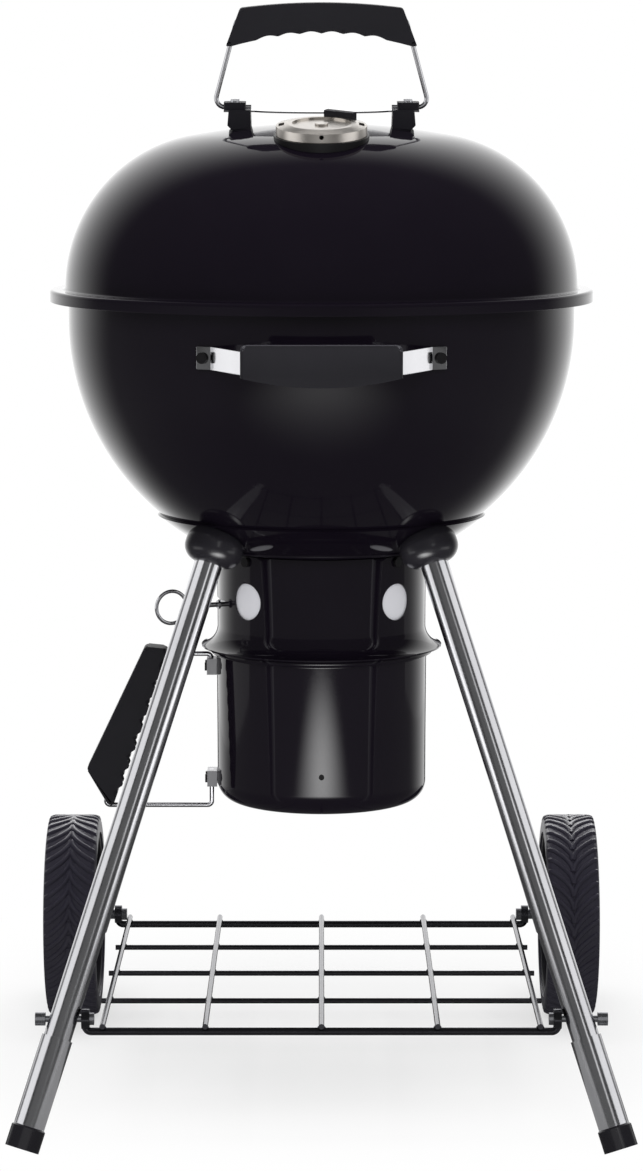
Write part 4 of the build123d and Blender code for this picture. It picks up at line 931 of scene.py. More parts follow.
@dataclass
class Lid:
    """Lid with its handle, heat shield and vent."""

    radius: float = 238.7
    wall: float = 1.5
    flange_radius: float = 253.0
    flange_height: float = 11.0
    flange_rounding: float = 3.0
    edge: float = 0.5
    foot_fillet: float = 3.0
    foot_height: float = 6.0
    shoulder_radius: float = 145.0
    shoulder_sweep: float = 79.5
    handle_offset: float = 30.0
    handle_height: float = 96.0
    grip_length: float = 175.0
    block_width: float = 21.5
    block_foot: tuple[float, float] = (1.0, 2.6)
    block_chamfer: float = 5.0
    block_taper: float = 1.2
    block_edge: float = 1.2
    throat_radius: float = 25.0

    def build(self) -> None:
        """Adds the lid and its grip, and dresses the handle's and the vent's parts."""
        vent = next(joint for joint in frame["record"]["behaviour"]["joints"] if joint["name"] == "vent_turn")
        vent_place, vent_axis = Vector(vent["pos_m"]), Vector(vent["axis"])
        moulding = MOULDING.material(label="_lid")
        lid = cut(self.lid_mesh(), [self.throat(vent_place, vent_axis)])
        add_piece("lid_dome", lid, "lid", ENAMEL.material(label="_lid"), ["lid_shell"])
        grip = Grip(self.grip_length).mesh("lid_grip", self.handle_frame())
        add_piece("lid_grip", grip, "lid", moulding, ["lid_handle_grip"])
        for side, sign in SIDES.items():
            block = self.block_mesh(side, sign)
            add_piece(f"block_{side}", block, "lid", moulding, [f"handle_block_{side}"])
        dress(moulding, "handle_clamps", "vent_tab")
        dress(WIRE.material(label="_lid_handle"), "lid_handle_wire")
        dress(SHEET.material(Vector((1, 0, 0)), label="_shield"), "heat_shield")
        dress(ZINC.material(label="_lid"), "clamp_screws", "block_screws")
        dress(PAINT.material(label="_vent"), "vent_base")
        dress(SPUN.material(vent_axis, vent_place), "vent_cap", "vent_rivet")

    @property
    def flange_top(self) -> float:
        """Height of the flange's upper face."""
        return box_mm("lid_shell")[0].z + self.flange_height

    @property
    def crown_radius(self) -> float:
        """Radius of the flat crown that meets the shoulder arc without a crease."""
        sweep = math.radians(self.shoulder_sweep)
        return self.shoulder_radius + (self.radius - self.shoulder_radius) / math.cos(sweep)

    @property
    def crown_centre(self) -> float:
        """Height of the crown's centre."""
        sweep = math.radians(self.shoulder_sweep)
        return self.flange_top - (self.crown_radius - self.shoulder_radius) * math.sin(sweep)

    def handle_frame(self) -> Matrix:
        """Places the handle's wire over the crown in front of its middle, with Z along the surface's normal.

        Returns:
            The placing into the frame's metres.
        """
        tilt = Matrix.Rotation(math.asin(self.handle_offset / self.crown_radius), 4, "X")
        reach = Matrix.Translation((0, 0, self.crown_radius + self.handle_height))
        return kettle_frame() @ Matrix.Translation((0, 0, self.crown_centre)) @ tilt @ reach

    def lid_mesh(self) -> Mesh:
        """Builds the dome of a shoulder arc and a flat crown over a turned-down flange.

        Returns:
            The mesh.
        """
        shoulder = (self.radius - self.shoulder_radius, self.flange_top)
        crown = (0, self.crown_centre)
        inner_flange = self.flange_radius - self.wall
        low = self.flange_top - self.flange_height
        under = self.flange_top - self.wall
        outline = Outline().to(self.flange_radius, low, self.edge)
        outline.to(self.flange_radius, self.flange_top, self.flange_rounding)
        outline.to(self.radius, self.flange_top, self.foot_fillet)
        start = math.degrees(math.asin(self.foot_height / self.shoulder_radius))
        outline.arc(shoulder, self.shoulder_radius, start, self.shoulder_sweep)
        outline.arc(crown, self.crown_radius, self.shoulder_sweep, 90)
        outline.arc(crown, self.crown_radius - self.wall, 90, self.shoulder_sweep)
        outline.arc(shoulder, self.shoulder_radius - self.wall, self.shoulder_sweep, start)
        corners = ((self.radius - self.wall, under), (inner_flange, under), (inner_flange, low))
        return lathe("lid_dome", outline.through(corners, self.edge), kettle_frame())

    def block_mesh(self, side: str, sign: int) -> Mesh:
        """Builds a handle block with slightly drawn-in sides and a chamfered outer foot.

        Args:
            side: Side of the lid.
            sign: Direction of that side along X.

        Returns:
            The mesh.
        """
        low, high = box_mm(f"handle_block_{side}")
        inner = min(abs(low.x), abs(high.x))
        outer = inner + self.block_width
        outer_foot, inner_foot = (low.z + lift for lift in self.block_foot)
        corners = (
            (inner, inner_foot),
            (outer - self.block_chamfer, outer_foot),
            (outer, outer_foot + self.block_chamfer),
            (outer - self.block_taper, high.z),
            (inner + self.block_taper / 2, high.z),
        )
        outline = Outline().through([(sign * x, z) for x, z in corners], self.block_edge)
        return plate(f"block_{side}", outline, f"handle_block_{side}", self.block_edge)

    def throat(self, place: Vector, axis: Vector) -> Mesh:
        """Builds the cutter for the hole below the vent.

        Args:
            place: Middle of the vent in metres.
            axis: Its axis.

        Returns:
            The cutter.
        """
        turn = UP.rotation_difference(axis).to_matrix().to_4x4()
        placing = Matrix.Translation(place) @ turn @ Matrix.Scale(MM, 4)
        return rod("throat", self.throat_radius, 2 * self.throat_radius, placing)


@dataclass
class AirTower:
    """Air tower below the bowl, its turning sleeve, lever and pull ring."""

    radius: float = 98.0
    wall: float = 1.5
    flare_radius: float = 19.0
    cut_reach: tuple[float, float] = (49.0, 196.0)
    holes: int = 4
    hole_radius: float = 17.0
    hole_drop: float = 42.0
    first_hole: float = 45.0
    slot_half: float = 2.55
    slot_drop: float = 48.0
    slot_start: float = 159.0
    slot_sweep: float = 45.0
    slot_steps: int = 15

    def build(self) -> None:
        """Adds the pierced tower and dresses the sleeve and the lever."""
        azimuths = [self.first_hole + index * 360 / self.holes for index in range(self.holes)]
        cutters = [self.hole_cutter(azimuth) for azimuth in azimuths]
        tower = cut(self.tower_mesh(), cutters + [self.slot_cutter()])
        add_piece("tower", tower, "stand", ENAMEL.material(label="_tower"), ["tower_shell"])
        dress(PAINT.material(label="_tower"), "tower_screws")
        dress(ALUMINISED.material(label="_sleeve"), "air_sleeve", "sleeve_ledge", "pot_clips")
        dress(WIRE.material(label="_lever"), "lever_ring", "air_lever")

    def tower_mesh(self) -> Mesh:
        """Builds the tower's wall with a flared lip below.

        Returns:
            The mesh.
        """
        low, high = box_mm("tower_shell")
        inner = self.radius - self.wall
        sweep = math.degrees(math.acos(1 - (high.x - self.radius) / self.flare_radius))
        flare_z = low.z + (self.flare_radius + self.wall) * math.sin(math.radians(sweep))
        centre = (self.radius + self.flare_radius, flare_z)
        outline = Outline().to(self.radius, high.z).run(self.radius, flare_z, ARC_STEPS)
        outline.arc(centre, self.flare_radius, 180, 180 + sweep, ARC_STEPS // 2)
        outline.arc(centre, self.flare_radius + self.wall, 180 + sweep, 180, ARC_STEPS // 2)
        return lathe("tower", outline.run(inner, high.z, ARC_STEPS), kettle_frame())

    def hole_cutter(self, azimuth: float) -> Mesh:
        """Builds the cutter for a round air hole.

        Args:
            azimuth: Direction of the hole in degrees.

        Returns:
            The cutter.
        """
        near, far = self.cut_reach
        height = box_mm("tower_shell")[1].z - self.hole_drop
        turn = Matrix.Rotation(math.radians(azimuth), 4, "Z")
        out = Matrix.Translation(((near + far) / 2, 0, height)) @ Matrix.Rotation(QUARTER_TURN, 4, "Y")
        return rod("hole", self.hole_radius, far - near, kettle_frame() @ turn @ out)

    def slot_cutter(self) -> Mesh:
        """Builds the cutter for the curved slot that the lever swings in.

        Returns:
            The cutter.
        """
        work = bmesh.new()
        inner, outer = self.cut_reach
        height = box_mm("tower_shell")[1].z - self.slot_drop
        rows = []
        for step in range(self.slot_steps + 1):
            angle = math.radians(self.slot_start + self.slot_sweep * step / self.slot_steps)
            row = []
            for reach, rise in ((inner, -1), (outer, -1), (outer, 1), (inner, 1)):
                place = (reach * math.cos(angle), reach * math.sin(angle), height + rise * self.slot_half)
                row.append(work.verts.new(place))
            rows.append(row)
        skin(work, rows)
        return to_mesh(work, "slot", kettle_frame())


@dataclass
class AshPot:
    """Ash pot with its rolled rim and its wire handle on the left."""

    radius: float = 99.0
    wall: float = 1.2
    corner: float = 20.0
    bead_height: float = 6.0
    bead_rounding: float = 2.6
    grip_thickness: float = 24.0
    grip_edge: float = 4.0
    grip_rounding: float = 4.0
    grip_corners: tuple[tuple[float, float], ...] = (
        (86.0, -5.5), (80.5, 16.0), (-49.0, 27.5), (-78.0, -8.0),
    )
    plain_end: float = 0.11
    scallops: int = 7
    scallop_depth: float = 2.4
    wire_top: tuple[float, float] = (-152.0, 8.45)
    wire_low: tuple[float, float] = (-206.0, 153.5)

    def build(self) -> None:
        """Adds the pot and its grip, and dresses the wire, brackets and rivets."""
        add_piece("pot", self.pot_mesh(), "pot", ENAMEL.material(label="_pot"), ["ash_pot"])
        moulding = MOULDING.material(label="_pot")
        add_piece("pot_grip", self.grip_mesh(), "pot", moulding, ["pot_handle_grip"])
        dress(WIRE.material(label="_pot_handle"), "pot_handle_wire")
        dress(SATIN.material(label="_brackets"), "pot_brackets")
        dress(PAINT.material(label="_pot"), "pot_rivets")

    def pot_mesh(self) -> Mesh:
        """Builds the pot with a rounded bottom corner and a rolled bead at the mouth.

        Returns:
            The mesh.
        """
        low, high = box_mm("ash_pot")
        inner = self.radius - self.wall
        bead_low = high.z - self.bead_height
        centre = (self.radius - self.corner, low.z + self.corner)
        outline = Outline().to(0, low.z).arc(centre, self.corner, 270, 360)
        outline.to(self.radius, bead_low, self.wall)
        outline.to(high.x, bead_low, self.bead_rounding).to(high.x, high.z, self.bead_rounding)
        outline.to(inner, high.z, self.wall).arc(centre, self.corner - self.wall, 360, 270)
        return lathe("pot", outline.to(0, low.z + self.wall), kettle_frame())

    def grip_mesh(self) -> Mesh:
        """Builds the grip with a plain outer side, a slanting lower end and finger scallops towards the pot.

        Returns:
            The mesh.
        """
        outline = Outline().through(self.grip_corners, self.grip_rounding)
        first, last = Vector(self.grip_corners[0]), Vector(self.grip_corners[-1])
        start, end = last.lerp(first, self.plain_end), first.lerp(last, self.plain_end)
        steps = self.scallops * ROUND_STEPS
        for step in range(steps + 1):
            place = start.lerp(end, step / steps)
            depth = self.scallop_depth * abs(math.sin(math.pi * step / ROUND_STEPS))
            outline.to(place.x, place.y + depth)
        return slab("pot_grip", outline, self.grip_thickness, self.grip_edge, self.grip_frame())

    def grip_frame(self) -> Matrix:
        """Places the grip on the slanting run of the wire, with its scallops towards the pot.

        Returns:
            The placing into the frame's metres.
        """
        top_z = box_mm("ash_pot")[1].z
        top = Vector((self.wire_top[0], 0, top_z - self.wire_top[1]))
        low = Vector((self.wire_low[0], 0, top_z - self.wire_low[1]))
        along = (top - low).normalized()
        out = along.cross(Vector((0, 1, 0)))
        turn = Matrix((along, out.cross(along), out)).transposed().to_4x4()
        return kettle_frame() @ Matrix.Translation((top + low) / 2) @ turn


@dataclass
class Stand:
    """Leg sockets, leg tubes, lower sleeves, foot caps and plugs."""

    leg_radius: float = 12.5
    socket_place: tuple[float, float, float] = (99.0, 105.0, 522.0)
    socket_radius: float = 27.0
    socket_below: float = 13.0
    socket_above: float = 20.0
    socket_rounding: float = 15.0
    seat_radius: float = 238.9
    seat_height: float = 727.5
    slant_rounds: int = 4

    def build(self) -> None:
        """Adds the sockets and dresses the tubes, with their grain along each leg."""
        moulding = MOULDING.material(label="_stand")
        polished = POLISHED.material(label="_stand")
        for row in ROWS:
            for side, sign in SIDES.items():
                leg = f"{row}_{side}"
                way = self.direction(f"leg_tube_{leg}", sign, row)
                steel = TUBE.material(way, label=f"_{leg}")
                dress(steel, f"leg_tube_{leg}")
                socket = self.socket_mesh(sign, row, way)
                add_piece(f"socket_{leg}", socket, "stand", polished, [f"leg_socket_{leg}"])
                if row == "front":
                    dress(steel, f"leg_sleeve_{side}")
                    dress(polished, f"foot_cap_{side}")
        dress(moulding, "leg_plugs")
        dress(ZINC.material(label="_stand"), "socket_bolts", "stub_axle_left", "stub_axle_right")

    def direction(self, tube: str, sign: int, row: str) -> Vector:
        """Works out a leg's direction upwards, from its node's box less the tube's own width.

        Args:
            tube: CAD node of the tube.
            sign: Direction of its side along X.
            row: Front or rear.

        Returns:
            The direction.
        """
        low, high = box_mm(tube)
        span = high - low
        way = span.normalized()
        for _ in range(self.slant_rounds):
            run = [size - 2 * self.leg_radius * math.sqrt(1 - part**2) for size, part in zip(span, way)]
            way = Vector(run).normalized()
        back = 1 if row == "front" else -1
        return Vector((-sign * way.x, back * way.y, way.z))

    def socket_mesh(self, sign: int, row: str, way: Vector) -> Mesh:
        """Builds the bulb round a leg's top, hollowed where the support ring sits on it.

        Args:
            sign: Direction of its side along X.
            row: Front or rear.
            way: The leg's direction.

        Returns:
            The mesh.
        """
        x, y, z = self.socket_place
        back = -1 if row == "front" else 1
        turn = UP.rotation_difference(way).to_matrix().to_4x4()
        place = kettle_frame() @ Matrix.Translation((sign * x, back * y, z)) @ turn
        rounding = self.socket_rounding
        reach = self.socket_radius - rounding
        outline = Outline().to(0, -self.socket_below)
        outline.arc((reach, rounding - self.socket_below), rounding, 270, 360)
        outline.arc((reach, self.socket_above - rounding), rounding, 0, 90).to(0, self.socket_above)
        seat = Outline().arc((0, self.seat_height), self.seat_radius, -90, 90, 2 * ARC_STEPS)
        return cut(lathe("socket", outline, place), [lathe("seat", seat, kettle_frame())])


@dataclass
class Shelf:
    """Wire shelf between the legs, with its rails, bolts and weld beads."""

    wire_radius: float = 2.5
    bead_radius: float = 3.4
    wire_x: tuple[float, ...] = (-196.0, -104.0, 0.0, 104.0, 196.0)
    cross_wires: int = 3
    seed: int = 7

    def build(self) -> None:
        """Adds the weld beads and dresses the wires and bolts."""
        # The wires and weld beads take the plating with painted shade in its colour
        wire = SHADED_SHELF_WIRE.material()
        dress(wire, "shelf_front_rail", "shelf_rear_rail", "shelf_long_wires", "shelf_cross_wires")
        dress(ZINC.material(label="_shelf"), "shelf_bolts")
        crossings = bpy.data.meshes.new("crossings")
        crossings.from_pydata(self.crossings(), [], [])
        values = {"Radius": self.bead_radius * MM, "Seed": self.seed, "Material": wire}
        add_piece("shelf_welds", grow(crossings, beads_on_points(), values), "stand", wire)

    def crossings(self) -> list[Vector]:
        """Works out where the long wires lie on the rails and on the cross wires.

        Returns:
            The places in metres.
        """
        front, rear = middle_mm("shelf_front_rail"), middle_mm("shelf_rear_rail")
        low, high = box_mm("shelf_long_wires")
        start, end = low.y, high.y
        places = []
        for index in range(self.cross_wires + 2):
            y = front.y + (rear.y - front.y) * index / (self.cross_wires + 1)
            share = (y - start) / (end - start)
            under = (high.z - 2 * self.wire_radius) * (1 - share) + low.z * share
            places.extend(Vector((x, y, under)) * MM for x in self.wire_x)
        return places


@dataclass
class Roller:
    """One wheel with its ribbed web and its tyre with a curved V tread."""

    side: str
    tread_drop: float = 2.0
    tyre_depth: float = 18.0
    shoulder: float = 7.0
    ribs: int = 48
    rib_lean: float = 30.0
    rib_bend: float = 0.55
    rib_half_width: float = 2.9
    rib_half_height: float = 3.0
    rib_steps: int = 16
    rib_sides: int = 10
    rim_depth: float = 5.0
    web_thickness: float = 6.0
    web_offset: float = 8.0
    hub_radius: float = 16.0
    hub_half: float = 10.0
    rounding: float = 1.5
    web_fillet: float = 3.0
    hub_fillet: float = 2.0
    axle_radius: float = 5.05
    spokes: int = 10
    spoke_height: float = 9.0
    spoke_thickness: float = 4.0
    spoke_foot: float = 2.0
    spoke_overlap: float = 1.0
    spoke_edge: float = 1.0

    def build(self) -> None:
        """Adds the tyre and the wheel of this side."""
        body = f"roller_{self.side}"
        rubber = RUBBER.material(label=f"_{self.side}")
        moulding = MOULDING.material(label=f"_wheel_{self.side}")
        tree = ring_of_items()
        tyre = self.carcass_mesh()
        for way in SIDES.values():
            tyre = self.repeated(tree, tyre, self.rib_mesh(way), self.ribs, rubber)
        add_piece(f"tread_{self.side}", self.placed(tyre), body, rubber, [f"tyre_{self.side}"])
        wheel = self.repeated(tree, self.wheel_mesh(), self.spoke_mesh(), self.spokes, moulding)
        disc = self.placed(wheel)
        add_piece(f"disc_{self.side}", disc, body, moulding, [f"wheel_{self.side}"])

    @property
    def radius(self) -> float:
        """Outer radius of the tyre."""
        low, high = box_mm(f"tyre_{self.side}")
        return (high.z - low.z) / 2

    @property
    def half_width(self) -> float:
        """Half of the tyre's width."""
        low, high = box_mm(f"tyre_{self.side}")
        return (high.x - low.x) / 2

    def placed(self, mesh: Mesh) -> Mesh:
        """Moves a mesh drawn about the local X axis onto this side's axle, the same moulding on both sides.

        Args:
            mesh: The mesh in millimetres.

        Returns:
            The same mesh.
        """
        turn = Matrix.Rotation(0 if SIDES[self.side] > 0 else math.pi, 4, "Z")
        middle = Matrix.Translation(middle_mm(f"tyre_{self.side}"))
        mesh.transform(Matrix.Scale(MM, 4) @ middle @ turn)
        return mesh

    def repeated(self, tree: Tree, base: Mesh, item: Mesh, count: int, material: Material) -> Mesh:
        """Joins copies of an item about the axle to a base mesh.

        Args:
            tree: Geometry tree that makes the copies.
            base: The base mesh.
            item: The item.
            count: Number of copies.
            material: Finish of the whole.

        Returns:
            The joined mesh.
        """
        holder = temporary(item)
        mesh = grow(base, tree, {"Item": holder, "Count": count, "Material": material})
        bpy.data.objects.remove(holder)
        return mesh

    def turned(self, name: str, outline: Outline) -> Mesh:
        """Turns an outline of radius and place along the axle about the local X axis."""
        return lathe(name, outline, Matrix.Rotation(QUARTER_TURN, 4, "Y"))

    def carcass_mesh(self) -> Mesh:
        """Builds the tyre without its ribs.

        Returns:
            The mesh.
        """
        outer = self.radius - self.tread_drop
        inner = self.radius - self.tyre_depth
        half = self.half_width
        outline = Outline().to(inner, -half).to(outer, -half, self.shoulder)
        outline.to(outer, half, self.shoulder).to(inner, half)
        return self.turned("carcass", outline)

    def rib_place(self, share: float, way: int) -> tuple[Vector, Vector]:
        """Works out a place on the tread.

        Args:
            share: Share of the way from the tread's middle to its side.
            way: Side of the tread along X.

        Returns:
            The place and its outward normal.
        """
        across = self.half_width * share
        flat = self.half_width - self.shoulder
        over = min(max(across - flat, 0) / self.shoulder, 1)
        lift = math.sqrt(1 - over**2)
        reach = self.radius - self.rib_half_height - self.shoulder * (1 - lift)
        angle = self.rib_lean * share**self.rib_bend / self.radius
        outward = Vector((0, -math.cos(angle), math.sin(angle)))
        normal = outward * lift + Vector((way * over, 0, 0))
        inset = min(across, self.half_width - self.rib_half_height)
        return Vector((way * inset, 0, 0)) + outward * reach, normal.normalized()

    def rib_mesh(self, way: int) -> Mesh:
        """Builds a tread rib that leaves the middle along the tyre and bends out over its shoulder.

        Args:
            way: Side of the tread along X.

        Returns:
            The mesh.
        """
        work = bmesh.new()
        places = [self.rib_place(step / self.rib_steps, way) for step in range(self.rib_steps + 1)]
        rows = []
        for index, (place, normal) in enumerate(places):
            before = places[max(index - 1, 0)][0]
            after = places[min(index + 1, self.rib_steps)][0]
            sideways = (after - before).normalized().cross(normal)
            row = []
            for step in range(self.rib_sides):
                angle = 2 * math.pi * step / self.rib_sides
                offset = sideways * (self.rib_half_width * math.cos(angle))
                row.append(work.verts.new(place + offset + normal * (self.rib_half_height * math.sin(angle))))
            rows.append(row)
        skin(work, rows)
        return to_mesh(work, "rib", Matrix())

    def wheel_mesh(self) -> Mesh:
        """Builds the rim's barrel, the web set towards the outside, and the hub.

        Returns:
            The mesh.
        """
        low, high = box_mm(f"wheel_{self.side}")
        outer = (high.z - low.z) / 2
        half = (high.x - low.x) / 2
        inner = outer - self.rim_depth
        web_low = self.web_offset - self.web_thickness / 2
        web_high = self.web_offset + self.web_thickness / 2
        hub_low, hub_high = self.web_offset - self.hub_half, self.web_offset + self.hub_half
        outline = Outline().through(((outer, -half), (outer, half), (inner, half)), self.rounding)
        outline.to(inner, web_high, self.web_fillet).to(self.hub_radius, web_high, self.hub_fillet)
        outline.to(self.hub_radius, hub_high, self.rounding).to(self.axle_radius, hub_high)
        outline.to(self.axle_radius, hub_low).to(self.hub_radius, hub_low, self.rounding)
        outline.to(self.hub_radius, web_low, self.hub_fillet).to(inner, web_low, self.web_fillet)
        return self.turned("wheel", outline.to(inner, -half, self.rounding))

    def spoke_mesh(self) -> Mesh:
        """Builds a stiffening rib on both faces of the web, from hub to rim.

        Returns:
            The mesh.
        """
        low, high = box_mm(f"wheel_{self.side}")
        rim = (high.z - low.z) / 2 - self.rim_depth + self.spoke_overlap
        hub = self.hub_radius - self.spoke_overlap
        tall = self.web_thickness / 2 + self.spoke_height
        short = self.web_thickness / 2 + self.spoke_foot
        corners = ((tall, hub), (short, rim), (-tall, rim), (-short, hub))
        outline = Outline().through((self.web_offset + rise, reach) for rise, reach in corners)
        return slab("spoke", outline, self.spoke_thickness, self.spoke_edge, Matrix())


@dataclass(frozen=True)
class Softbox:
    """Area light of the studio.

    Attributes:
        name: Name of the light.
        place: Middle of the light in metres.
        aim: Point that it faces.
        size: Width and height in metres.
        watts: Power.
        in_gloss: Whether glossy surfaces mirror it.
        receivers: CAD nodes and pieces that it lights, or all where none is named.
        hot: Whether it is brightest in the middle and fades to its edges.
    """

    name: str
    place: tuple[float, float, float]
    aim: tuple[float, float, float]
    size: tuple[float, float]
    watts: float
    in_gloss: bool
    receivers: tuple[str, ...] = ()
    hot: bool = False

    MIDDLE = (0.5, 0.5, 0.0)
    FLAT = (1.0, 1.0, 0.0)
    HALF = 0.5

    def add(self) -> None:
        """Adds the light to the scene."""
        light = bpy.data.lights.new(self.name, "AREA")
        light.shape = "RECTANGLE"
        light.size, light.size_y = self.size
        light.energy = self.watts
        lamp = bpy.data.objects.new(self.name, light)
        bpy.context.scene.collection.objects.link(lamp)
        lamp.location = self.place
        lamp.rotation_euler = (Vector(self.aim) - Vector(self.place)).to_track_quat("-Z", "Y").to_euler()
        lamp.visible_camera = False
        lamp.visible_glossy = self.in_gloss
        if self.receivers:
            lit = bpy.data.collections.new(self.name)
            for name in self.receivers:
                lit.objects.link(frame["nodes"].get(name) or bpy.data.objects[name])
            lamp.light_linking.receiver_collection = lit
        if self.hot:
            self.fade(light)

    def fade(self, light: bpy.types.Light) -> None:
        """Makes the light fade from its middle to its edges.

        Args:
            light: The light.
        """
        tree = empty_tree(light)
        across = add_node(tree, "ShaderNodeNewGeometry").outputs["Parametric"]
        offset = add_node(tree, "ShaderNodeVectorMath", {
            0: across, 1: self.MIDDLE,
        }, operation="SUBTRACT").outputs[0]
        flat = add_node(tree, "ShaderNodeVectorMath", {
            0: offset, 1: self.FLAT,
        }, operation="MULTIPLY").outputs[0]
        reach = add_node(tree, "ShaderNodeVectorMath", {0: flat}, operation="LENGTH").outputs["Value"]
        strength = smooth_step(tree, reach, 0.0, self.HALF, 1.0, 0.0)
        glow = add_node(tree, "ShaderNodeEmission", {"Strength": strength}).outputs[0]
        add_node(tree, "ShaderNodeOutputLight", {"Surface": glow})


LEG_STEEL = tuple(
    [f"leg_tube_{row}_{side}" for row in ROWS for side in SIDES] + [f"leg_sleeve_{side}" for side in SIDES]
)
SOCKETS = tuple(f"socket_{row}_{side}" for row in ROWS for side in SIDES)
FEET = tuple(f"foot_cap_{side}" for side in SIDES)
HARDWARE = (
    "pot_handle_wire", "lid_handle_wire", "lever_ring", "air_lever", "pot_brackets", "shelf_bolts",
    "clamp_screws", "block_screws", "vent_cap", "vent_rivet", "front_screws",
)
GRIPS = ("front_grip_plate", "lid_grip", "pot_grip")
STRAP = ("strap", "front_rivets")
TREADS = tuple(f"tread_{side}" for side in SIDES)
UPPER_STEEL = ("heat_shield", "cooking_grate", "charcoal_grate", "vent_cap", "vent_rivet", "clamp_screws")
LOWER_ENAMEL = ("tower", "pot")
POT_WIRE = ("pot_handle_wire",)
SOFTBOXES = (
    Softbox("overhead", (0, 0.1, 3.2), (0, 0, 0), (2.6, 2.6), 85.0, False),
    Softbox("top_veil", (0, 0, 3.2), (0, 0, 0), (2.6, 2.6), 14.0, True, UPPER_STEEL + LEG_STEEL),
    Softbox("front_soft", (0, -3.4, 2.2), (0, 0, 0.5), (2.4, 1.6), 60.0, False),
    *(
        Softbox(
            f"{side}_wall", (sign * 1.9, -0.6, 1.0), (0, -0.2, 0.3), (2.0, 2.0), 14.5, True,
            LEG_STEEL + HARDWARE,
        )
        for side, sign in SIDES.items()
    ),
    Softbox(
        "front_key", (0.9, -2.8, 1.4), (0, -0.2, 0.3), (0.8, 1.6), 7.0, True, LEG_STEEL + SOCKETS + FEET, True
    ),
    Softbox("leg_veil", (0, -3.2, 1.2), (0, -0.2, 0.3), (3.6, 2.6), 2.2, True, LEG_STEEL),
    Softbox("hardware_veil", (0, -3.2, 1.2), (0, -0.2, 0.3), (3.6, 2.6), 10.0, True, HARDWARE + FEET),
    Softbox("floor_veil", (0, -1.2, 0.02), (0, -1.2, 1.0), (3.0, 2.0), 5.5, True, LEG_STEEL),
    *(
        Softbox(
            f"{side}_low", (sign * 1.3, -0.6, 0.15), (0, -0.2, 0.3), (0.9, 0.35), 0.9, True,
            LEG_STEEL + SOCKETS,
        )
        for side, sign in SIDES.items()
    ),
    *(
        Softbox(f"{side}_strap", (sign * 1.9, 0.65, 0.7), (0, 0.65, 0.7), (1.9, 1.0), 4.2, True, STRAP)
        for side, sign in SIDES.items()
    ),
    Softbox("tyre_top", (0, 2.2, 1.5), (0, 0.25, 0.15), (3.0, 1.2), 55.0, True, TREADS),
    Softbox("rim", (0, -0.9, 2.6), (0, -0.2, 0.8), (2.0, 0.5), 8.0, True, GRIPS + SOCKETS + FEET + POT_WIRE),
    Softbox("grip_edge", (0, -0.42, 2.2), (0, -0.33, 0.73), (1.2, 0.3), 45.0, True, ("front_grip_plate",)),
    Softbox("left_panel", (-1.6, 1.0, 0.45), (0, 0, 0.45), (3.0, 1.2), 2.4, True, LOWER_ENAMEL),
    Softbox("right_panel", (1.6, 1.4, 0.45), (0, 0, 0.45), (2.4, 1.2), 1.5, True, LOWER_ENAMEL),
    Softbox(
        "floor_bounce", (0, -1.75, 0.02), (0, -1.75, 1.0), (1.7, 2.2), 64.0, True, ("pot",) + POT_WIRE, True
    ),
    Softbox("socket_glow", (0, -0.7, 0.02), (0, -0.7, 1.0), (0.9, 0.8), 26.0, True, SOCKETS, True),
)


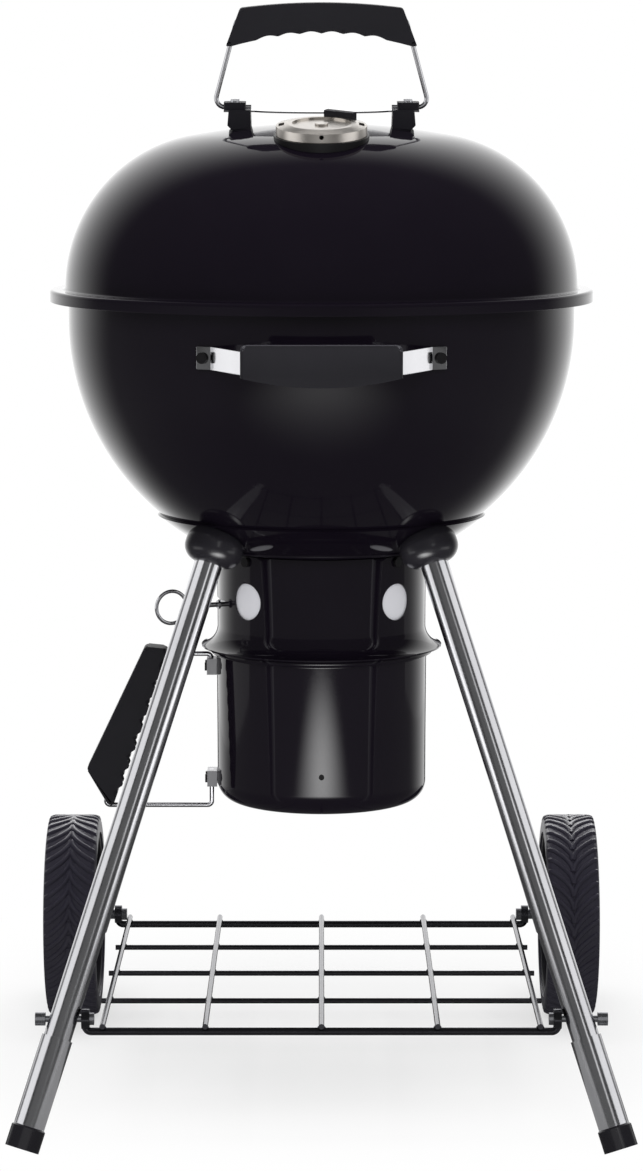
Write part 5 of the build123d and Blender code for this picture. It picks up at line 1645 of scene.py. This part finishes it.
@dataclass(frozen=True)
class Studio:
    """White sweep, soft lights and the camera of the photograph."""

    camera_place: tuple[float, float, float] = (0.0, -3.63415, 0.957)
    camera_pitch: float = 7.61
    sensor: float = 36.0
    image_height: float = 1171.0
    focal_pixels: float = 3856.0
    background: str = "#ffffff"
    floor_colour: str = "#f4f4f4"
    floor_half: float = 12.0
    fade_place: tuple[float, float, float] = (0.0, 0.2, 0.0)
    fade_start: float = 0.15
    fade_end: float = 0.58
    floor_lift: float = 0.55
    gloss_dark: float = 0.06
    gloss_white: float = 1.35
    gloss_start: float = 0.28
    gloss_end: float = 1.05
    shade_start: float = 0.3
    shade_end: float = 1.5
    glow_place: tuple[float, float, float] = (0.0, -1.5, 0.0)
    glow_radius: float = 1.0
    glow_strength: float = 0.8
    floor_dark: float = 0.07
    fill: float = 0.35

    def build(self) -> None:
        """Sets the floor, the world, the lights and the camera."""
        bpy.context.scene.view_settings.view_transform = "Standard"
        self.add_floor()
        self.set_world()
        for softbox in SOFTBOXES:
            softbox.add()
        self.add_camera()

    def add_camera(self) -> None:
        """Adds the camera at the photograph's viewing angle."""
        camera = bpy.data.cameras.new("camera")
        camera.sensor_fit = "VERTICAL"
        camera.sensor_height = self.sensor
        camera.lens = self.focal_pixels / self.image_height * self.sensor
        holder = bpy.data.objects.new("camera", camera)
        bpy.context.scene.collection.objects.link(holder)
        holder.location = self.camera_place
        holder.rotation_euler = (math.radians(90 - self.camera_pitch), 0, 0)
        bpy.context.scene.camera = holder

    def add_floor(self) -> None:
        """Adds a pale floor that fades into the white background."""
        half = self.floor_half
        mesh = bpy.data.meshes.new("floor")
        corners = [(-half, -half, 0), (half, -half, 0), (half, half, 0), (-half, half, 0)]
        mesh.from_pydata(corners, [], [(0, 1, 2, 3)])
        floor = bpy.data.objects.new("floor", mesh)
        bpy.context.scene.collection.objects.link(floor)
        mesh.materials.append(self.floor_material())

    def floor_material(self) -> Material:
        """Makes a floor that is matt white near the grill, pure white far away, and darker in reflections.

        Returns:
            The material.
        """
        material = bpy.data.materials.new("matt_white_sweep")
        tree = empty_tree(material)
        place = add_node(tree, "ShaderNodeTexCoord").outputs["Object"]
        distance = add_node(tree, "ShaderNodeVectorMath", {0: place}, operation="LENGTH").outputs["Value"]
        spread = add_node(tree, "ShaderNodeVectorMath", {
            0: place, 1: self.fade_place,
        }, operation="DISTANCE").outputs["Value"]
        far = smooth_step(tree, spread, self.fade_start, self.fade_end, self.floor_lift, 1.0)
        matt = add_node(tree, "ShaderNodeBsdfDiffuse", {"Color": linear(self.floor_colour)}).outputs[0]
        white = add_node(tree, "ShaderNodeEmission", {"Strength": 1.0}).outputs[0]
        seen = add_node(tree, "ShaderNodeMixShader", {0: far, 1: matt, 2: white}).outputs[0]
        way = add_node(tree, "ShaderNodeVectorMath", {0: place}, operation="NORMALIZE").outputs[0]
        depth = add_node(tree, "ShaderNodeSeparateXYZ", {0: way}).outputs["Y"]
        behind = smooth_step(tree, depth, self.gloss_start, self.gloss_end, self.gloss_dark, self.gloss_white)
        shade = smooth_step(tree, distance, self.shade_start, self.shade_end, 0.0, 1.0)
        offset = add_node(tree, "ShaderNodeVectorMath", {
            0: place, 1: self.glow_place,
        }, operation="DISTANCE").outputs["Value"]
        glow = smooth_step(tree, offset, 0.0, self.glow_radius, self.glow_strength, self.floor_dark)
        gloss = add_node(tree, "ShaderNodeMath", {
            0: behind, 1: shade, 2: glow,
        }, operation="MULTIPLY_ADD").outputs[0]
        mirrored = add_node(tree, "ShaderNodeEmission", {"Strength": gloss}).outputs[0]
        glossy = add_node(tree, "ShaderNodeLightPath").outputs["Is Glossy Ray"]
        mixed = add_node(tree, "ShaderNodeMixShader", {0: glossy, 1: seen, 2: mirrored}).outputs[0]
        add_node(tree, "ShaderNodeOutputMaterial", {"Surface": mixed})
        return material

    def set_world(self) -> None:
        """Sets a white background, a dim fill, and reflections that are white behind and dark in front."""
        world = bpy.data.worlds.new("white_studio")
        bpy.context.scene.world = world
        tree = empty_tree(world)
        way = add_node(tree, "ShaderNodeTexCoord").outputs["Generated"]
        depth = add_node(tree, "ShaderNodeSeparateXYZ", {0: way}).outputs["Y"]
        gloss = smooth_step(tree, depth, self.gloss_start, self.gloss_end, self.gloss_dark, self.gloss_white)
        path = add_node(tree, "ShaderNodeLightPath").outputs
        lit = add_node(tree, "ShaderNodeMix", {0: path["Is Glossy Ray"], 2: self.fill, 3: gloss}).outputs[0]
        direct = add_node(tree, "ShaderNodeMath", {
            0: path["Is Camera Ray"], 1: path["Is Transmission Ray"],
        }, operation="MAXIMUM").outputs[0]
        strength = add_node(tree, "ShaderNodeMix", {0: direct, 2: lit, 3: 1.0}).outputs[0]
        back = add_node(tree, "ShaderNodeBackground", {
            "Color": linear(self.background), "Strength": strength,
        }).outputs[0]
        add_node(tree, "ShaderNodeOutputWorld", {"Surface": back})


def main() -> None:
    """Builds every sub-assembly and the studio around them."""
    logging.basicConfig(level=logging.INFO)
    Kettle().build()
    Lid().build()
    AirTower().build()
    AshPot().build()
    Stand().build()
    Shelf().build()
    for side in SIDES:
        Roller(side).build()
    Studio().build()


if __name__ == "__main__":
    main()
